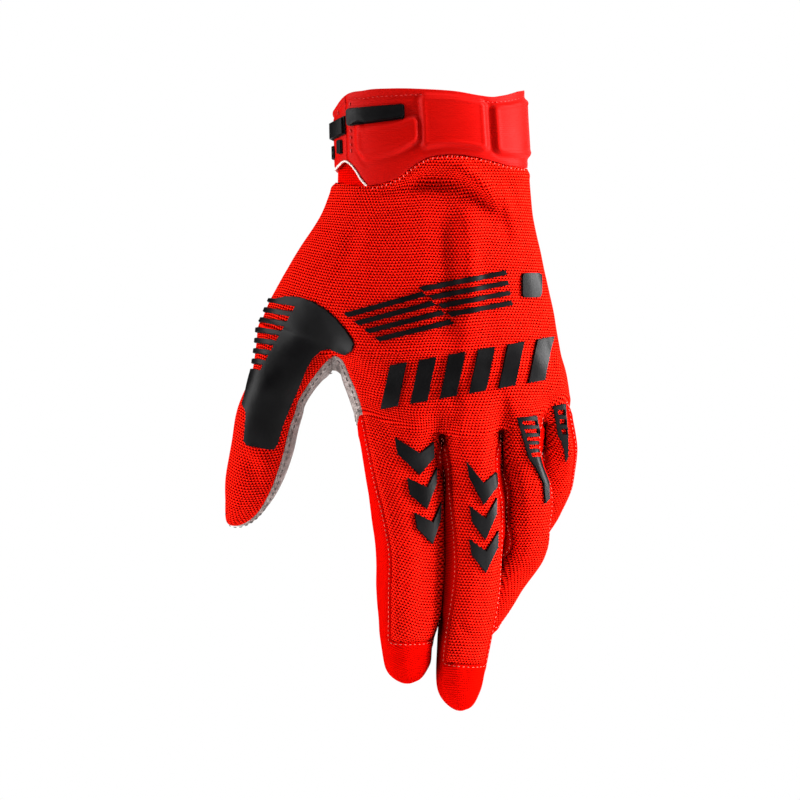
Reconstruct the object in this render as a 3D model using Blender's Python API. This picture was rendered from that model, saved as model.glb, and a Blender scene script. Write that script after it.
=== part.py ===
"""Motocross glove for a left hand, in the shape that it has when worn, with the fingers hanging down.

One skin of sections runs from the wrist to the fingertips: the hand's ring splits into thumb and fingers.
The skin is cut along the seams into the panels that the glove is sewn from, and each panel gets its own wall.
The cuff, its flap and the gusset under the flap are laid out around the wrist, and the rubber prints lie on
the panels. Metres, +Z up. The back of the hand faces -Y, the thumb is at -X, and the origin is the middle of
the cuff's mouth.
"""

import math
from collections import namedtuple

import bmesh
import bpy
import numpy as np
from mathutils import Vector
from mathutils.geometry import tessellate_polygon
from mathutils.kdtree import KDTree

# Cuff
CUFF_WIDTH = 0.0755
CUFF_DEPTH = 0.0460
CUFF_HEIGHT = 0.0255
CUFF_WALL = 0.0022
PAD_HEIGHT = 0.0012
PAD_BEVEL = 0.0016

# Hand
HAND_LENGTH = 0.1085
HAND_WIDTH = 0.0830
HAND_DEPTH = 0.0300

# Digits: the length runs from the root to the tip, the width and depth are at the middle joint
THUMB_LENGTH = 0.0765
THUMB_WIDTH = 0.0248
THUMB_DEPTH = 0.0225
INDEX_LENGTH = 0.1000
INDEX_WIDTH = 0.0265
INDEX_DEPTH = 0.0235
MIDDLE_LENGTH = 0.1060
MIDDLE_WIDTH = 0.0213
MIDDLE_DEPTH = 0.0210
RING_LENGTH = 0.1000
RING_WIDTH = 0.0192
RING_DEPTH = 0.0190
LITTLE_LENGTH = 0.0800
LITTLE_WIDTH = 0.0164
LITTLE_DEPTH = 0.0160

# Neighbouring facets that meet at less than this are joined in a print, in radians
FLAT_ANGLE = 0.06
SAME_PLACE = 6e-6

# Walls and clearances
KNIT_WALL = 0.0011
SUEDE_WALL = 0.0011
STRETCH_WALL = 0.0010
SEAM_GAP = 0.0006
CORNER_GAP = 0.0013
WEB_THINNING = 0.30
WEB_REACH = 0.0120
LAYER_GAP = 0.0004
PRINT_GAP = 0.0003
PRINT_HEIGHT = 0.0007
TAB_HEIGHT = 0.0014

# Columns of the skin: quads across the back of the thumb and of each finger
THUMB_COLUMNS = 4
FINGER_COLUMNS = 4
FINGERS = ("index", "middle", "ring", "little")
COLUMNS = THUMB_COLUMNS + FINGER_COLUMNS * len(FINGERS)

# Roundness of the sections, and how far in from the side the front and back seams lie, as a share of the width
BODY_ROUNDNESS = 2.4
CUFF_ROUNDNESS = 2.2
BODY_INSET = 0.024
DIGIT_INSET = 0.065

# Sections of the hand. along, and the drops at five places across, are shares of HAND_LENGTH below the cuff's
# seam; left and right are shares of the width there, front and back of the depth there, and the sets of
# HAND_DEPTH
Section = namedtuple(
    "Section", "along drop0 drop1 drop2 drop3 drop4 left right set0 set1 set2 front back fall"
)
BODY_SECTIONS = (
    Section(0.000, 0.090, 0.104, 0.005, 0.011, 0.043, -0.492, 0.508, 0.05, 0.00, 0.05, 0.450, 0.460, 0.00),
    Section(0.154, 0.211, 0.202, 0.146, 0.150, 0.171, -0.556, 0.515, 0.13, 0.00, 0.08, 0.430, 0.460, 0.00),
    Section(0.314, 0.332, 0.334, 0.311, 0.307, 0.318, -0.655, 0.543, 0.27, 0.00, 0.13, 0.400, 0.470, 0.00),
    Section(0.493, 0.486, 0.498, 0.489, 0.486, 0.496, -0.770, 0.592, 0.42, 0.00, 0.20, 0.380, 0.470, 0.01),
    Section(0.700, 0.600, 0.714, 0.696, 0.689, 0.689, -0.832, 0.633, 0.55, 0.00, 0.27, 0.380, 0.460, 0.05),
)
HAND_SECTIONS = (
    Section(0.700, 0.714, 0.706, 0.696, 0.689, 0.689, -0.466, 0.633, 0.18, 0.00, 0.27, 0.390, 0.460, 0.03),
    Section(0.850, 0.825, 0.846, 0.857, 0.832, 0.789, -0.387, 0.657, 0.12, 0.00, 0.30, 0.410, 0.460, 0.05),
    Section(1.000, 0.911, 0.975, 1.000, 0.964, 0.861, -0.344, 0.660, 0.10, 0.00, 0.33, 0.430, 0.460, 0.07),
)
BODY_ROWS = (0.0, 0.05, 0.105, 0.165, 0.235, 0.32, 0.41, 0.50, 0.58, 0.65, 0.70)
HAND_ROWS = (0.70, 0.775, 0.85, 0.925, 1.0)

# Shares of the width where the thumb ends and each finger ends, at the cuff's seam and at the thumb's crotch,
# and of the hand without the thumb
ENDS_AT_SEAM = (0.12, 0.42, 0.66, 0.86)
ENDS_AT_CROTCH = (0.24, 0.54, 0.757, 0.917)
ENDS_OF_FINGERS = (0.395, 0.68, 0.89)
CROTCH_PINCH = 0.52
WEB_PINCH = 0.40

# Sections of the digits: drop, side and set (away from the back of the hand) are shares of the digit's length,
# width and depth of its own, and twist turns its left side to the front, in degrees
Joint = namedtuple("Joint", "drop side set width depth twist")
THUMB_JOINTS = (
    Joint(0.150, -0.090, 0.02, 0.96, 1.02, -4),
    Joint(0.330, -0.152, 0.05, 0.99, 1.00, -10),
    Joint(0.480, -0.180, 0.08, 0.97, 0.98, -14),
    Joint(0.600, -0.213, 0.11, 0.91, 0.92, -15),
    Joint(0.715, -0.252, 0.14, 0.79, 0.82, -12),
    Joint(0.795, -0.287, 0.165, 0.60, 0.68, -6),
    Joint(0.850, -0.322, 0.18, 0.36, 0.48, 0),
    Joint(0.890, -0.355, 0.19, 0.10, 0.12, 0),
)
INDEX_JOINTS = (
    Joint(0.09, 0.004, 0.000, 1.10, 1.08, 3),
    Joint(0.21, 0.020, 0.000, 1.09, 1.05, 10),
    Joint(0.33, 0.031, 0.004, 1.05, 1.00, 19),
    Joint(0.44, 0.036, 0.012, 0.995, 0.96, 24),
    Joint(0.56, 0.031, 0.024, 0.965, 0.90, 26),
    Joint(0.68, 0.032, 0.042, 0.91, 0.84, 22),
    Joint(0.79, 0.021, 0.066, 0.77, 0.76, 20),
    Joint(0.870, 0.026, 0.092, 0.68, 0.66, 14),
    Joint(0.925, 0.036, 0.106, 0.53, 0.46, 8),
    Joint(0.958, 0.052, 0.116, 0.14, 0.12, 4),
)
MIDDLE_JOINTS = (
    Joint(0.09, 0.002, 0.000, 0.97, 1.06, 3),
    Joint(0.20, 0.005, 0.004, 1.055, 1.04, 12),
    Joint(0.31, 0.006, 0.014, 1.05, 1.02, 18),
    Joint(0.42, 0.006, 0.028, 1.01, 0.98, 22),
    Joint(0.52, 0.000, 0.046, 1.00, 0.94, 22),
    Joint(0.62, -0.010, 0.068, 1.00, 0.90, 18),
    Joint(0.72, -0.027, 0.090, 0.96, 0.84, 18),
    Joint(0.82, -0.039, 0.112, 0.86, 0.76, 14),
    Joint(0.905, -0.040, 0.130, 0.76, 0.64, 10),
    Joint(0.945, -0.031, 0.140, 0.53, 0.44, 6),
    Joint(0.975, -0.020, 0.146, 0.13, 0.12, 4),
)
RING_JOINTS = (
    Joint(0.090, 0.000, 0.002, 0.80, 0.90, 2),
    Joint(0.194, 0.022, 0.018, 0.94, 1.00, 12),
    Joint(0.310, 0.016, 0.052, 0.96, 1.00, 20),
    Joint(0.426, 0.010, 0.105, 0.93, 0.98, 22),
    Joint(0.540, -0.064, 0.172, 0.94, 0.95, 20),
    Joint(0.635, -0.116, 0.232, 0.93, 0.90, 16),
    Joint(0.710, -0.161, 0.282, 0.86, 0.84, 12),
    Joint(0.770, -0.202, 0.322, 0.76, 0.74, 8),
    Joint(0.810, -0.226, 0.346, 0.55, 0.55, 4),
    Joint(0.840, -0.246, 0.362, 0.12, 0.12, 0),
)
LITTLE_JOINTS = (
    Joint(0.110, 0.026, 0.070, 0.74, 0.90, 2),
    Joint(0.232, 0.010, 0.195, 0.86, 1.00, 6),
    Joint(0.367, -0.028, 0.300, 0.95, 1.00, 12),
    Joint(0.498, -0.104, 0.420, 0.96, 0.98, 14),
    Joint(0.609, -0.176, 0.537, 0.94, 0.94, 12),
    Joint(0.696, -0.230, 0.625, 0.86, 0.88, 8),
    Joint(0.763, -0.268, 0.690, 0.64, 0.66, 4),
    Joint(0.810, -0.290, 0.730, 0.12, 0.12, 0),
)
Digit = namedtuple("Digit", "joints length width depth seam_row")
DIGITS = {
    "thumb": Digit(THUMB_JOINTS, THUMB_LENGTH, THUMB_WIDTH, THUMB_DEPTH, None),
    "index": Digit(INDEX_JOINTS, INDEX_LENGTH, INDEX_WIDTH, INDEX_DEPTH, 7),
    "middle": Digit(MIDDLE_JOINTS, MIDDLE_LENGTH, MIDDLE_WIDTH, MIDDLE_DEPTH, 7),
    "ring": Digit(RING_JOINTS, RING_LENGTH, RING_WIDTH, RING_DEPTH, 7),
    "little": Digit(LITTLE_JOINTS, LITTLE_LENGTH, LITTLE_WIDTH, LITTLE_DEPTH, 7),
}
# Where a digit's rings lie between its first and last joint, as shares of that way
DIGIT_ROWS = (0.0, 0.13, 0.27, 0.41, 0.55, 0.68, 0.785, 0.87, 0.93, 0.975)
# How much of the root's fall towards the palm the digit's first rings keep
ROOT_LEAN = (0.7, 0.4, 0.15)

# Folds in the back of the hand: the ends and the bend of each in the front view, as shares of HAND_WIDTH from
# the middle and of HAND_LENGTH below the cuff's seam, with the width and depth as shares of HAND_DEPTH; a
# negative depth is a ridge
Fold = namedtuple("Fold", "x0 drop0 x1 drop1 x2 drop2 width depth")
FOLDS = (
    Fold(-0.29, 0.145, 0.06, 0.020, 0.36, 0.260, 0.12, 0.085),
    Fold(0.08, 0.045, 0.26, 0.070, 0.40, 0.215, 0.10, -0.055),
    Fold(-0.31, 0.200, -0.18, 0.090, -0.02, 0.075, 0.09, -0.030),
    Fold(-0.36, 0.230, -0.33, 0.330, -0.42, 0.430, 0.10, 0.028),
    Fold(0.17, 0.180, 0.18, 0.350, 0.17, 0.520, 0.12, -0.022),
    Fold(0.06, 0.160, 0.08, 0.330, 0.09, 0.520, 0.13, 0.026),
    Fold(0.09, 0.780, 0.10, 0.880, 0.05, 0.960, 0.10, 0.026),
)

# Outline of the cuff: drop of the rim as a share of CUFF_HEIGHT, across the back and across the palm
RIM_SHARES = (0.0, 0.05, 0.17, 0.30, 0.50, 0.65, 0.77, 0.83, 0.90, 1.0)
RIM_BACK = (0.32, 0.120, 0.000, -0.025, -0.012, 0.020, 0.08, 0.100, 0.076, -0.010)
RIM_PALM = (0.32, 0.30, 0.24, 0.20, 0.16, 0.13, 0.10, 0.08, 0.05, -0.015)
# Drop of the cuff's lower edge below its seam's middle, as a share of HAND_LENGTH: the notch of the slit is at
# the left
NOTCH_SHARES = (0.0, 0.03, 0.055, 0.08, 0.11, 0.14, 0.165)
NOTCH_DROPS = (0.055, 0.031, 0.020, 0.029, 0.054, 0.088, 0.108)
EDGE_SHARES = (0.0, 0.08, 0.165, 0.26, 0.34, 0.40, 0.47, 0.54, 0.70, 0.80, 0.90, 1.0)
EDGE_DROPS = (0.090, 0.102, 0.108, 0.096, 0.072, 0.040, 0.011, 0.000, 0.003, 0.018, 0.036, 0.043)
EDGE_REACH = 0.17
RIM_LEFT, RIM_RIGHT = -0.500, 0.484
SEAM_LEFT, SEAM_RIGHT = -0.492, 0.508

# Raised pads of the cuff: shares across, and of the way from the rim down to the edge
Pad = namedtuple("Pad", "left right top bottom")
PADS = (
    Pad(0.118, 0.440, 0.375, 0.720),
    Pad(0.455, 0.790, 0.080, 0.860),
    Pad(0.828, 1.200, 0.110, 0.860),
)
FLAP_SEAM = 0.070
FLAP_END = 0.520
FLAP_RISE_END = 0.130
CUFF_PALM_END = 0.150
GUSSET_END = 0.165
CUFF_ROWS = (0.0, 0.08, 0.14, 0.37, 0.44, 0.65, 0.72, 0.82, 0.88, 1.0)
CUFF_BACK_SHARES = (
    0.070, 0.118, 0.142, 0.20, 0.27, 0.34, 0.415, 0.440, 0.455, 0.480, 0.55, 0.62, 0.69, 0.765,
    0.790, 0.828, 0.853, 0.91, 0.96, 1.0,
)
CUFF_PALM_SHARES = (0.97, 0.90, 0.80, 0.69, 0.57, 0.45, 0.34, 0.24, 0.15)
FLAP_BACK_SHARES = (0.070, 0.052, 0.034, 0.016, 0.004, 0.0)
FLAP_PALM_SHARES = (0.008, 0.030, 0.070, 0.13, 0.20, 0.28, 0.36, 0.44, 0.52)
GUSSET_BACK_SHARES = (0.165, 0.135, 0.105, 0.075, 0.045, 0.020, 0.0)
GUSSET_PALM_SHARES = (0.020, 0.050, 0.09, 0.14)
GUSSET_ROWS = (-0.20, 0.2, 0.6, 1.0)
GUSSET_HEIGHT = 0.0150

# Prints on the back, in the front view: x as a share of HAND_WIDTH from the middle, drop as a share of
# HAND_LENGTH below the cuff's seam. In each group of stripes one row gives the first and one the next bar's step
Stripes = namedtuple("Stripes", "x0 drop0 x1 drop1 step_x0 step_drop0 step_x1 step_drop1 tall slant0 slant1")
STRIPE_COUNT = 4
STRIPES = {
    "left": Stripes(-0.402, 0.559, -0.039, 0.483, 0.048, 0.029, 0.043, 0.033, 0.0150, 0.023, 0.025),
    "right": Stripes(-0.054, 0.466, 0.351, 0.406, 0.043, 0.030, 0.009, 0.036, 0.0165, 0.025, 0.007),
}
BLOCK_COUNT = 6
BLOCK_FIRST = (-0.168, 0.818)
BLOCK_LAST = (0.515, 0.725)
BLOCK_SIZE = (0.080, 0.157)
BLOCK_SLANT = 0.042
BADGE = (0.472, 0.459, 0.093, 0.089)
BADGE_CORNER = 0.018
Chevron = namedtuple("Chevron", "finger x drop left right left_rise right_rise")
CHEVRONS = (
    Chevron("index", -0.049, 1.057, 0.114, 0.064, 0.054, 0.040),
    Chevron("index", -0.016, 1.179, 0.091, 0.043, 0.032, 0.070),
    Chevron("index", 0.009, 1.304, 0.084, 0.039, 0.035, 0.071),
    Chevron("middle", 0.249, 1.164, 0.079, 0.060, 0.077, 0.042),
    Chevron("middle", 0.258, 1.290, 0.075, 0.050, 0.045, 0.073),
    Chevron("middle", 0.259, 1.407, 0.077, 0.055, 0.043, 0.073),
)
CHEVRON_ARM, CHEVRON_TIP = 0.059, 0.080
# A knuckle guard: its left and right ends at the top, at the waist and at the tip, and the number of its slots
Guard = namedtuple("Guard", "finger top_left top_right top waist_left waist_right waist tip_left tip_right tip slots")
GUARDS = (
    Guard("ring", 0.404, 0.495, 0.932, 0.457, 0.531, 1.077, 0.533, 0.556, 1.240, 5),
    Guard("little", 0.572, 0.628, 0.890, 0.598, 0.645, 0.995, 0.634, 0.646, 1.090, 3),
)
GUARD_EDGE = (0.020, 0.008)
# The thumb patch: points of its outline from the top round to the foot, in the same shares
PATCH = (
    (-0.720, 0.507), (-0.664, 0.498), (-0.603, 0.502), (-0.542, 0.518), (-0.481, 0.546), (-0.430, 0.582),
    (-0.390, 0.618), (-0.362, 0.650), (-0.351, 0.671), (-0.362, 0.695), (-0.395, 0.708), (-0.430, 0.699),
    (-0.472, 0.686), (-0.509, 0.693), (-0.549, 0.720), (-0.579, 0.761), (-0.614, 0.825), (-0.650, 0.886),
    (-0.687, 0.957), (-0.713, 1.025), (-0.729, 1.045), (-0.757, 1.046), (-0.853, 1.032), (-0.869, 1.016),
    (-0.857, 0.914), (-0.874, 0.884),
)
# The patch's stripes towards the thumb's outer side: the first one's right end, the step to the next, and the
# far end, thickness and fall of each
PATCH_STRIPE_COUNT = 7
PATCH_STRIPE = (-0.628, 0.534)
PATCH_STRIPE_STEP = (-0.025, 0.0352)
PATCH_STRIPE_TALL = 0.0180
PATCH_STRIPE_FALL = 0.11
PATCH_SIDE = -0.832

# Rubber strips of the closure: shares across the cuff, below 0 on the palm side, and drops from the cuff's mouth
# as shares of CUFF_HEIGHT
STRAP_LEFT, STRAP_RIGHT = 0.076, 0.372
STRAP_TOPS, STRAP_BOTTOMS = (0.274, 0.208), (0.547, 0.440)
STRAP_CORNER = 0.0012
TAB_SHARES = (0.064, 0.0, -0.070, -0.30)
TAB_TOPS = (0.385, 0.480, 0.530, 0.550)
TAB_BOTTOMS = (0.660, 0.750, 0.800, 0.820)
SLOT_BARS = ((0.023, 0.046, 0.745, 0.965), (-0.030, 0.008, 0.830, 1.050))

COLOURS = {
    "knit": ((0.80, 0.035, 0.012), 0.75),
    "stretch": ((0.84, 0.045, 0.018), 0.65),
    "neoprene": ((0.78, 0.025, 0.010), 0.55),
    "suede": ((0.42, 0.36, 0.35), 0.90),
    "rubber": ((0.020, 0.020, 0.023), 0.45),
}


def clear_scene():
    for old in list(bpy.data.objects):
        bpy.data.objects.remove(old)


def smooth_curve(stations, values, at):
    """A smooth curve through the values at the stations, read at the given places."""
    stations = np.asarray(stations, float)
    values = np.asarray(values, float)
    at = np.clip(np.asarray(at, float), stations[0], stations[-1])
    slopes = np.gradient(values, stations, axis=0)
    i = np.clip(np.searchsorted(stations, at, side="right") - 1, 0, len(stations) - 2)
    span = stations[i + 1] - stations[i]
    t = (at - stations[i]) / span
    if values.ndim > 1:
        span, t = span[..., None], t[..., None]
    return (
        (1 + 2 * t) * (1 - t) ** 2 * values[i]
        + t * (1 - t) ** 2 * span * slopes[i]
        + t * t * (3 - 2 * t) * values[i + 1]
        - t * t * (1 - t) * span * slopes[i + 1]
    )


def bulge(share, roundness):
    """Half the thickness of a section at a share of its width, 1 in the middle and 0 at its sides."""
    return (1 - np.abs(2 * share - 1) ** roundness) ** (1 / roundness)


def through_three(values, share):
    left, middle, right = values
    return left * (1 - share) * (1 - 2 * share) + 4 * middle * share * (1 - share) + right * share * (2 * share - 1)


class Skin:
    """The points of the glove's skin, and its faces, each with the digit, side, column and row that it is in."""

    def __init__(self):
        self.points = []
        self.faces = []
        self.places = []

    def add(self, point):
        self.points.append(np.asarray(point, float))
        return len(self.points) - 1

    def face(self, corners, part, side, column, row):
        self.faces.append(corners)
        self.places.append((part, side, column, row))

    def band(self, upper, lower, part, row):
        """The faces between two rings."""
        count = len(upper.front) - 1
        for j in range(count):
            corners = (upper.front[j], lower.front[j], lower.front[j + 1], upper.front[j + 1])
            self.face(corners, part, "front", j, row)
            corners = (upper.back[j + 1], lower.back[j + 1], lower.back[j], upper.back[j])
            self.face(corners, part, "back", j, row)
        self.face((upper.front[-1], lower.front[-1], lower.right, upper.right), part, "right", 0, row)
        self.face((upper.right, lower.right, lower.back[-1], upper.back[-1]), part, "right", 1, row)
        self.face((upper.left, lower.left, lower.front[0], upper.front[0]), part, "left", 0, row)
        self.face((upper.back[0], lower.back[0], lower.left, upper.left), part, "left", 1, row)

    def cap(self, ring, tip, part, row):
        """The faces from a digit's last ring to its tip."""
        for j in range(len(ring.front) - 1):
            self.face((ring.front[j], tip, ring.front[j + 1]), part, "front", j, row)
            self.face((ring.back[j + 1], tip, ring.back[j]), part, "back", j, row)
        self.face((ring.front[-1], tip, ring.right), part, "right", 0, row)
        self.face((ring.right, tip, ring.back[-1]), part, "right", 1, row)
        self.face((ring.left, tip, ring.front[0]), part, "left", 0, row)
        self.face((ring.back[0], tip, ring.left), part, "left", 1, row)


Ring = namedtuple("Ring", "front right back left")


def edge_drop(share):
    """How far the seam below the cuff lies under its middle, as a share of HAND_LENGTH."""
    return float(smooth_curve(EDGE_SHARES, EDGE_DROPS, share))


def section_at(sections, along):
    """The section at a share of the hand's length, smooth between the rows of the table."""
    return Section(*smooth_curve([s.along for s in sections], np.array(sections), along))


def section_point(section, share, side, pinches):
    """A point of a section: side is -1 on the back of the hand, 1 on the palm and 0 at the very side."""
    width = CUFF_WIDTH + (HAND_WIDTH - CUFF_WIDTH) * section.along
    depth = CUFF_DEPTH + (HAND_DEPTH - CUFF_DEPTH) * section.along
    drops = (section.drop0, section.drop1, section.drop2, section.drop3, section.drop4)
    drop = float(smooth_curve((0, 0.25, 0.5, 0.75, 1), drops, share))
    near_edge = max(0.0, 1 - section.along / EDGE_REACH) ** 2
    top = BODY_SECTIONS[0]
    top_drops = (top.drop0, top.drop1, top.drop2, top.drop3, top.drop4)
    drop += near_edge * (edge_drop(share) - float(smooth_curve((0, 0.25, 0.5, 0.75, 1), top_drops, share)))
    thickness = float(bulge(share, BODY_ROUNDNESS))
    for place, amount, reach in pinches:
        thickness *= 1 - amount * math.exp(-(((share - place) / reach) ** 2))
    centre = through_three((section.set0, section.set1, section.set2), share) * HAND_DEPTH
    reach = {-1: -section.front, 0: 0.0, 1: section.back}[side] * depth * thickness
    fall = (0.5 + 0.5 * side) * section.fall
    return (
        (section.left + (section.right - section.left) * share) * width,
        centre + reach,
        -CUFF_HEIGHT - (drop + fall) * HAND_LENGTH,
    )


def column_shares(ends):
    """The shares of the width at the columns' edges, between the seams at the two sides."""
    bounds = (0.0, *ends, 1.0)
    counts = [THUMB_COLUMNS] * (len(bounds) == 6) + [FINGER_COLUMNS] * len(FINGERS)
    shares = [0.0]
    for low, high, count in zip(bounds, bounds[1:], counts):
        shares += [low + (high - low) * (k + 1) / count for k in range(count)]
    return BODY_INSET + (1 - 2 * BODY_INSET) * np.array(shares)


def body_ring(skin, along):
    """A ring around hand and thumb together."""
    section = section_at(BODY_SECTIONS, along)
    t = along / BODY_SECTIONS[-1].along
    ends = np.array(ENDS_AT_SEAM) * (1 - t) + np.array(ENDS_AT_CROTCH) * t
    growth = max(0.0, (t - 0.7) / 0.3) ** 2
    pinches = [(ends[0], CROTCH_PINCH * growth, 0.055)]
    shares = column_shares(tuple(ends))
    front = [skin.add(section_point(section, s, -1, pinches)) for s in shares]
    right = skin.add(section_point(section, 1.0, 0, ()))
    back = [skin.add(section_point(section, s, 1, pinches)) for s in shares]
    left = skin.add(section_point(section, 0.0, 0, ()))
    return Ring(front, right, back, left)


def hand_ring(skin, along):
    """A ring around the four fingers' part of the hand."""
    section = section_at(HAND_SECTIONS, along)
    growth = max(0.0, (along - 0.8) / 0.2) ** 2
    pinches = [(end, WEB_PINCH * growth, 0.04) for end in ENDS_OF_FINGERS]
    shares = column_shares(ENDS_OF_FINGERS)
    front = [skin.add(section_point(section, s, -1, pinches)) for s in shares]
    right = skin.add(section_point(section, 1.0, 0, ()))
    back = [skin.add(section_point(section, s, 1, pinches)) for s in shares]
    left = skin.add(section_point(section, 0.0, 0, ()))
    return Ring(front, right, back, left)


def web_point(skin, front, back):
    """The middle of a web, between its points on the two sides of the hand."""
    return skin.add(0.5 * (skin.points[front] + skin.points[back]))


def digit_rings(skin, name, root):
    """The rings of a digit from its root on, and its tip."""
    digit = DIGITS[name]
    joints = np.array(digit.joints)
    steps = np.linalg.norm(np.diff(joints[:, :3], axis=0), axis=1)
    way = np.concatenate([[0], np.cumsum(steps)])
    rows = smooth_curve(way, joints, np.array(DIGIT_ROWS) * way[-1])
    ids = [*root.front, root.right, *root.back, root.left]
    start = np.mean([skin.points[i] for i in ids], axis=0)
    fall = skin.points[root.back[0]][2] - skin.points[root.front[0]][2]
    centres = start + np.stack([rows[:, 1], rows[:, 2], -rows[:, 0]], axis=1) * digit.length
    line = np.vstack([start, centres])
    tangents = np.gradient(line, axis=0)[1:]
    tangents /= np.linalg.norm(tangents, axis=1, keepdims=True)
    shares = DIGIT_INSET + (1 - 2 * DIGIT_INSET) * np.linspace(0, 1, len(root.front))
    rings = []
    for k, (centre, tangent, row) in enumerate(zip(centres, tangents, rows)):
        across = np.array([1.0, 0.0, 0.0]) - tangent * tangent[0]
        across /= np.linalg.norm(across)
        away = np.cross(across, tangent)
        turn = math.radians(row[5])
        turned = across * math.cos(turn) + away * math.sin(turn)
        away = away * math.cos(turn) - across * math.sin(turn)
        width, depth = row[3] * digit.width, row[4] * digit.depth
        lean = ROOT_LEAN[k] * fall if k < len(ROOT_LEAN) else 0.0

        def place(share, side):
            point = centre + turned * (share - 0.5) * width
            point = point + away * (side * 0.5 * depth * float(bulge(share, BODY_ROUNDNESS)))
            point[2] += lean * 0.5 * (1 + side)
            return skin.add(point)

        front = [place(s, -1) for s in shares]
        right = place(1.0, 0)
        back = [place(s, 1) for s in shares]
        rings.append(Ring(front, right, back, place(0.0, 0)))
    tip = start + np.array([joints[-1, 1], joints[-1, 2], -joints[-1, 0]]) * digit.length
    return rings, skin.add(tip)


def build_digit(skin, name, root):
    rings, tip = digit_rings(skin, name, root)
    for row, (upper, lower) in enumerate(zip([root, *rings], rings)):
        skin.band(upper, lower, name, row)
    skin.cap(rings[-1], tip, name, len(rings))


def build_skin():
    """The whole skin from the cuff's seam down: hand and thumb, then thumb, then hand, then fingers."""
    skin = Skin()
    rings = [body_ring(skin, along) for along in BODY_ROWS]
    for row, (upper, lower) in enumerate(zip(rings, rings[1:])):
        skin.band(upper, lower, "body", row)
    whole = rings[-1]
    crotch = web_point(skin, whole.front[THUMB_COLUMNS], whole.back[THUMB_COLUMNS])
    cut = THUMB_COLUMNS + 1
    build_digit(skin, "thumb", Ring(whole.front[:cut], crotch, whole.back[:cut], whole.left))
    hand = Ring(whole.front[THUMB_COLUMNS:], whole.right, whole.back[THUMB_COLUMNS:], crotch)
    for row, along in enumerate(HAND_ROWS[1:]):
        lower = hand_ring(skin, along)
        skin.band(hand, lower, "hand", row)
        hand = lower
    webs = [hand.left]
    for k in range(1, len(FINGERS)):
        column = k * FINGER_COLUMNS
        webs.append(web_point(skin, hand.front[column], hand.back[column]))
    webs.append(hand.right)
    for k, name in enumerate(FINGERS):
        first, last = k * FINGER_COLUMNS, (k + 1) * FINGER_COLUMNS + 1
        root = Ring(hand.front[first:last], webs[k + 1], hand.back[first:last], webs[k])
        build_digit(skin, name, root)
    return skin


def triangles_of(faces):
    """Each face's corners as triangles, with the number of the face that each came from."""
    triangles, owners = [], []
    for number, corners in enumerate(faces):
        for k in range(1, len(corners) - 1):
            triangles.append((corners[0], corners[k], corners[k + 1]))
            owners.append(number)
    return np.array(triangles), np.array(owners)


def point_normals(points, triangles):
    a, b, c = (points[triangles[:, k]] for k in range(3))
    facing = np.cross(b - a, c - a)
    normals = np.zeros_like(points)
    for k in range(3):
        np.add.at(normals, triangles[:, k], facing)
    lengths = np.linalg.norm(normals, axis=1, keepdims=True)
    return normals / np.maximum(lengths, 1e-12)


def fold_points(points, normals):
    """Presses the folds into the back of the hand."""
    moved = points.copy()
    for fold in FOLDS:
        t = np.linspace(0, 1, 33)[:, None]
        ends = np.array([[fold.x0, fold.drop0], [fold.x1, fold.drop1], [fold.x2, fold.drop2]])
        size = np.array([HAND_WIDTH, HAND_LENGTH])
        line = ((1 - t) ** 2 * ends[0] + 2 * t * (1 - t) * ends[1] + t * t * ends[2]) * size
        flat = np.stack([points[:, 0], -CUFF_HEIGHT - points[:, 2]], axis=1)
        away = np.linalg.norm(flat[:, None, :] - line[None, :, :], axis=2)
        nearest = away.argmin(axis=1)
        fade = np.sin(math.pi * np.clip(t[nearest, 0], 0.04, 0.96)) ** 0.5
        push = np.exp(-((away.min(axis=1) / (fold.width * HAND_DEPTH)) ** 2)) * fade
        front = np.clip(-normals[:, 1] * 2, 0, 1)
        moved -= normals * (push * front * fold.depth * HAND_DEPTH)[:, None]
    return moved


def border_shift(points, normals, faces, gaps):
    """How far each point on the border of a panel steps back into the panel, so that a seam's sides stay apart."""
    edges = {}
    for corners in faces:
        for a, b in zip(corners, (*corners[1:], corners[0])):
            edges[(a, b)] = edges.get((a, b), 0) + 1
    border = [(a, b) for a, b in edges if (b, a) not in edges]
    inward = {}
    for a, b in border:
        edge = points[b] - points[a]
        for end in (a, b):
            step = np.cross(normals[end], edge)
            inward.setdefault(end, []).append(step / np.linalg.norm(step))
    shift = np.zeros_like(points)
    for end, steps in inward.items():
        if len(steps) == 2:
            total = steps[0] + steps[1]
            shift[end] = total * gaps[end] / max(1 + float(steps[0] @ steps[1]), 0.4)
        else:
            shift[end] = np.mean(steps, axis=0) * gaps[end]
    return shift, border


def panel_solid(points, normals, faces, walls, gaps):
    """A panel as a solid: its outer side, its inner side one wall further in, and the edge all round."""
    shift, border = border_shift(points, normals, faces, np.broadcast_to(gaps, len(points)))
    walls = np.broadcast_to(walls, len(points))
    used = sorted({i for corners in faces for i in corners})
    number = {old: new for new, old in enumerate(used)}
    outer = points[used] + shift[used]
    inner = outer - normals[used] * walls[used][:, None]
    count = len(used)
    triangles, _ = triangles_of([[number[i] for i in corners] for corners in faces])
    solid = [tuple(t) for t in triangles]
    solid += [(c + count, b + count, a + count) for a, b, c in triangles]
    for a, b in border:
        a, b = number[a], number[b]
        solid += [(b, a, a + count), (b, a + count, b + count)]
    return np.vstack([outer, inner]), solid


def clip(polygon, corner, direction):
    """The part of a polygon on the left of the line through a corner; a point is (chart x, chart y, ...)."""
    kept = []
    side = [(p[0] - corner[0]) * -direction[1] + (p[1] - corner[1]) * direction[0] for p in polygon]
    for k, point in enumerate(polygon):
        following = (k + 1) % len(polygon)
        if side[k] >= 0:
            kept.append(point)
        if side[k] * side[following] < 0:
            t = side[k] / (side[k] - side[following])
            kept.append(point + t * (polygon[following] - point))
    return kept


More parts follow.
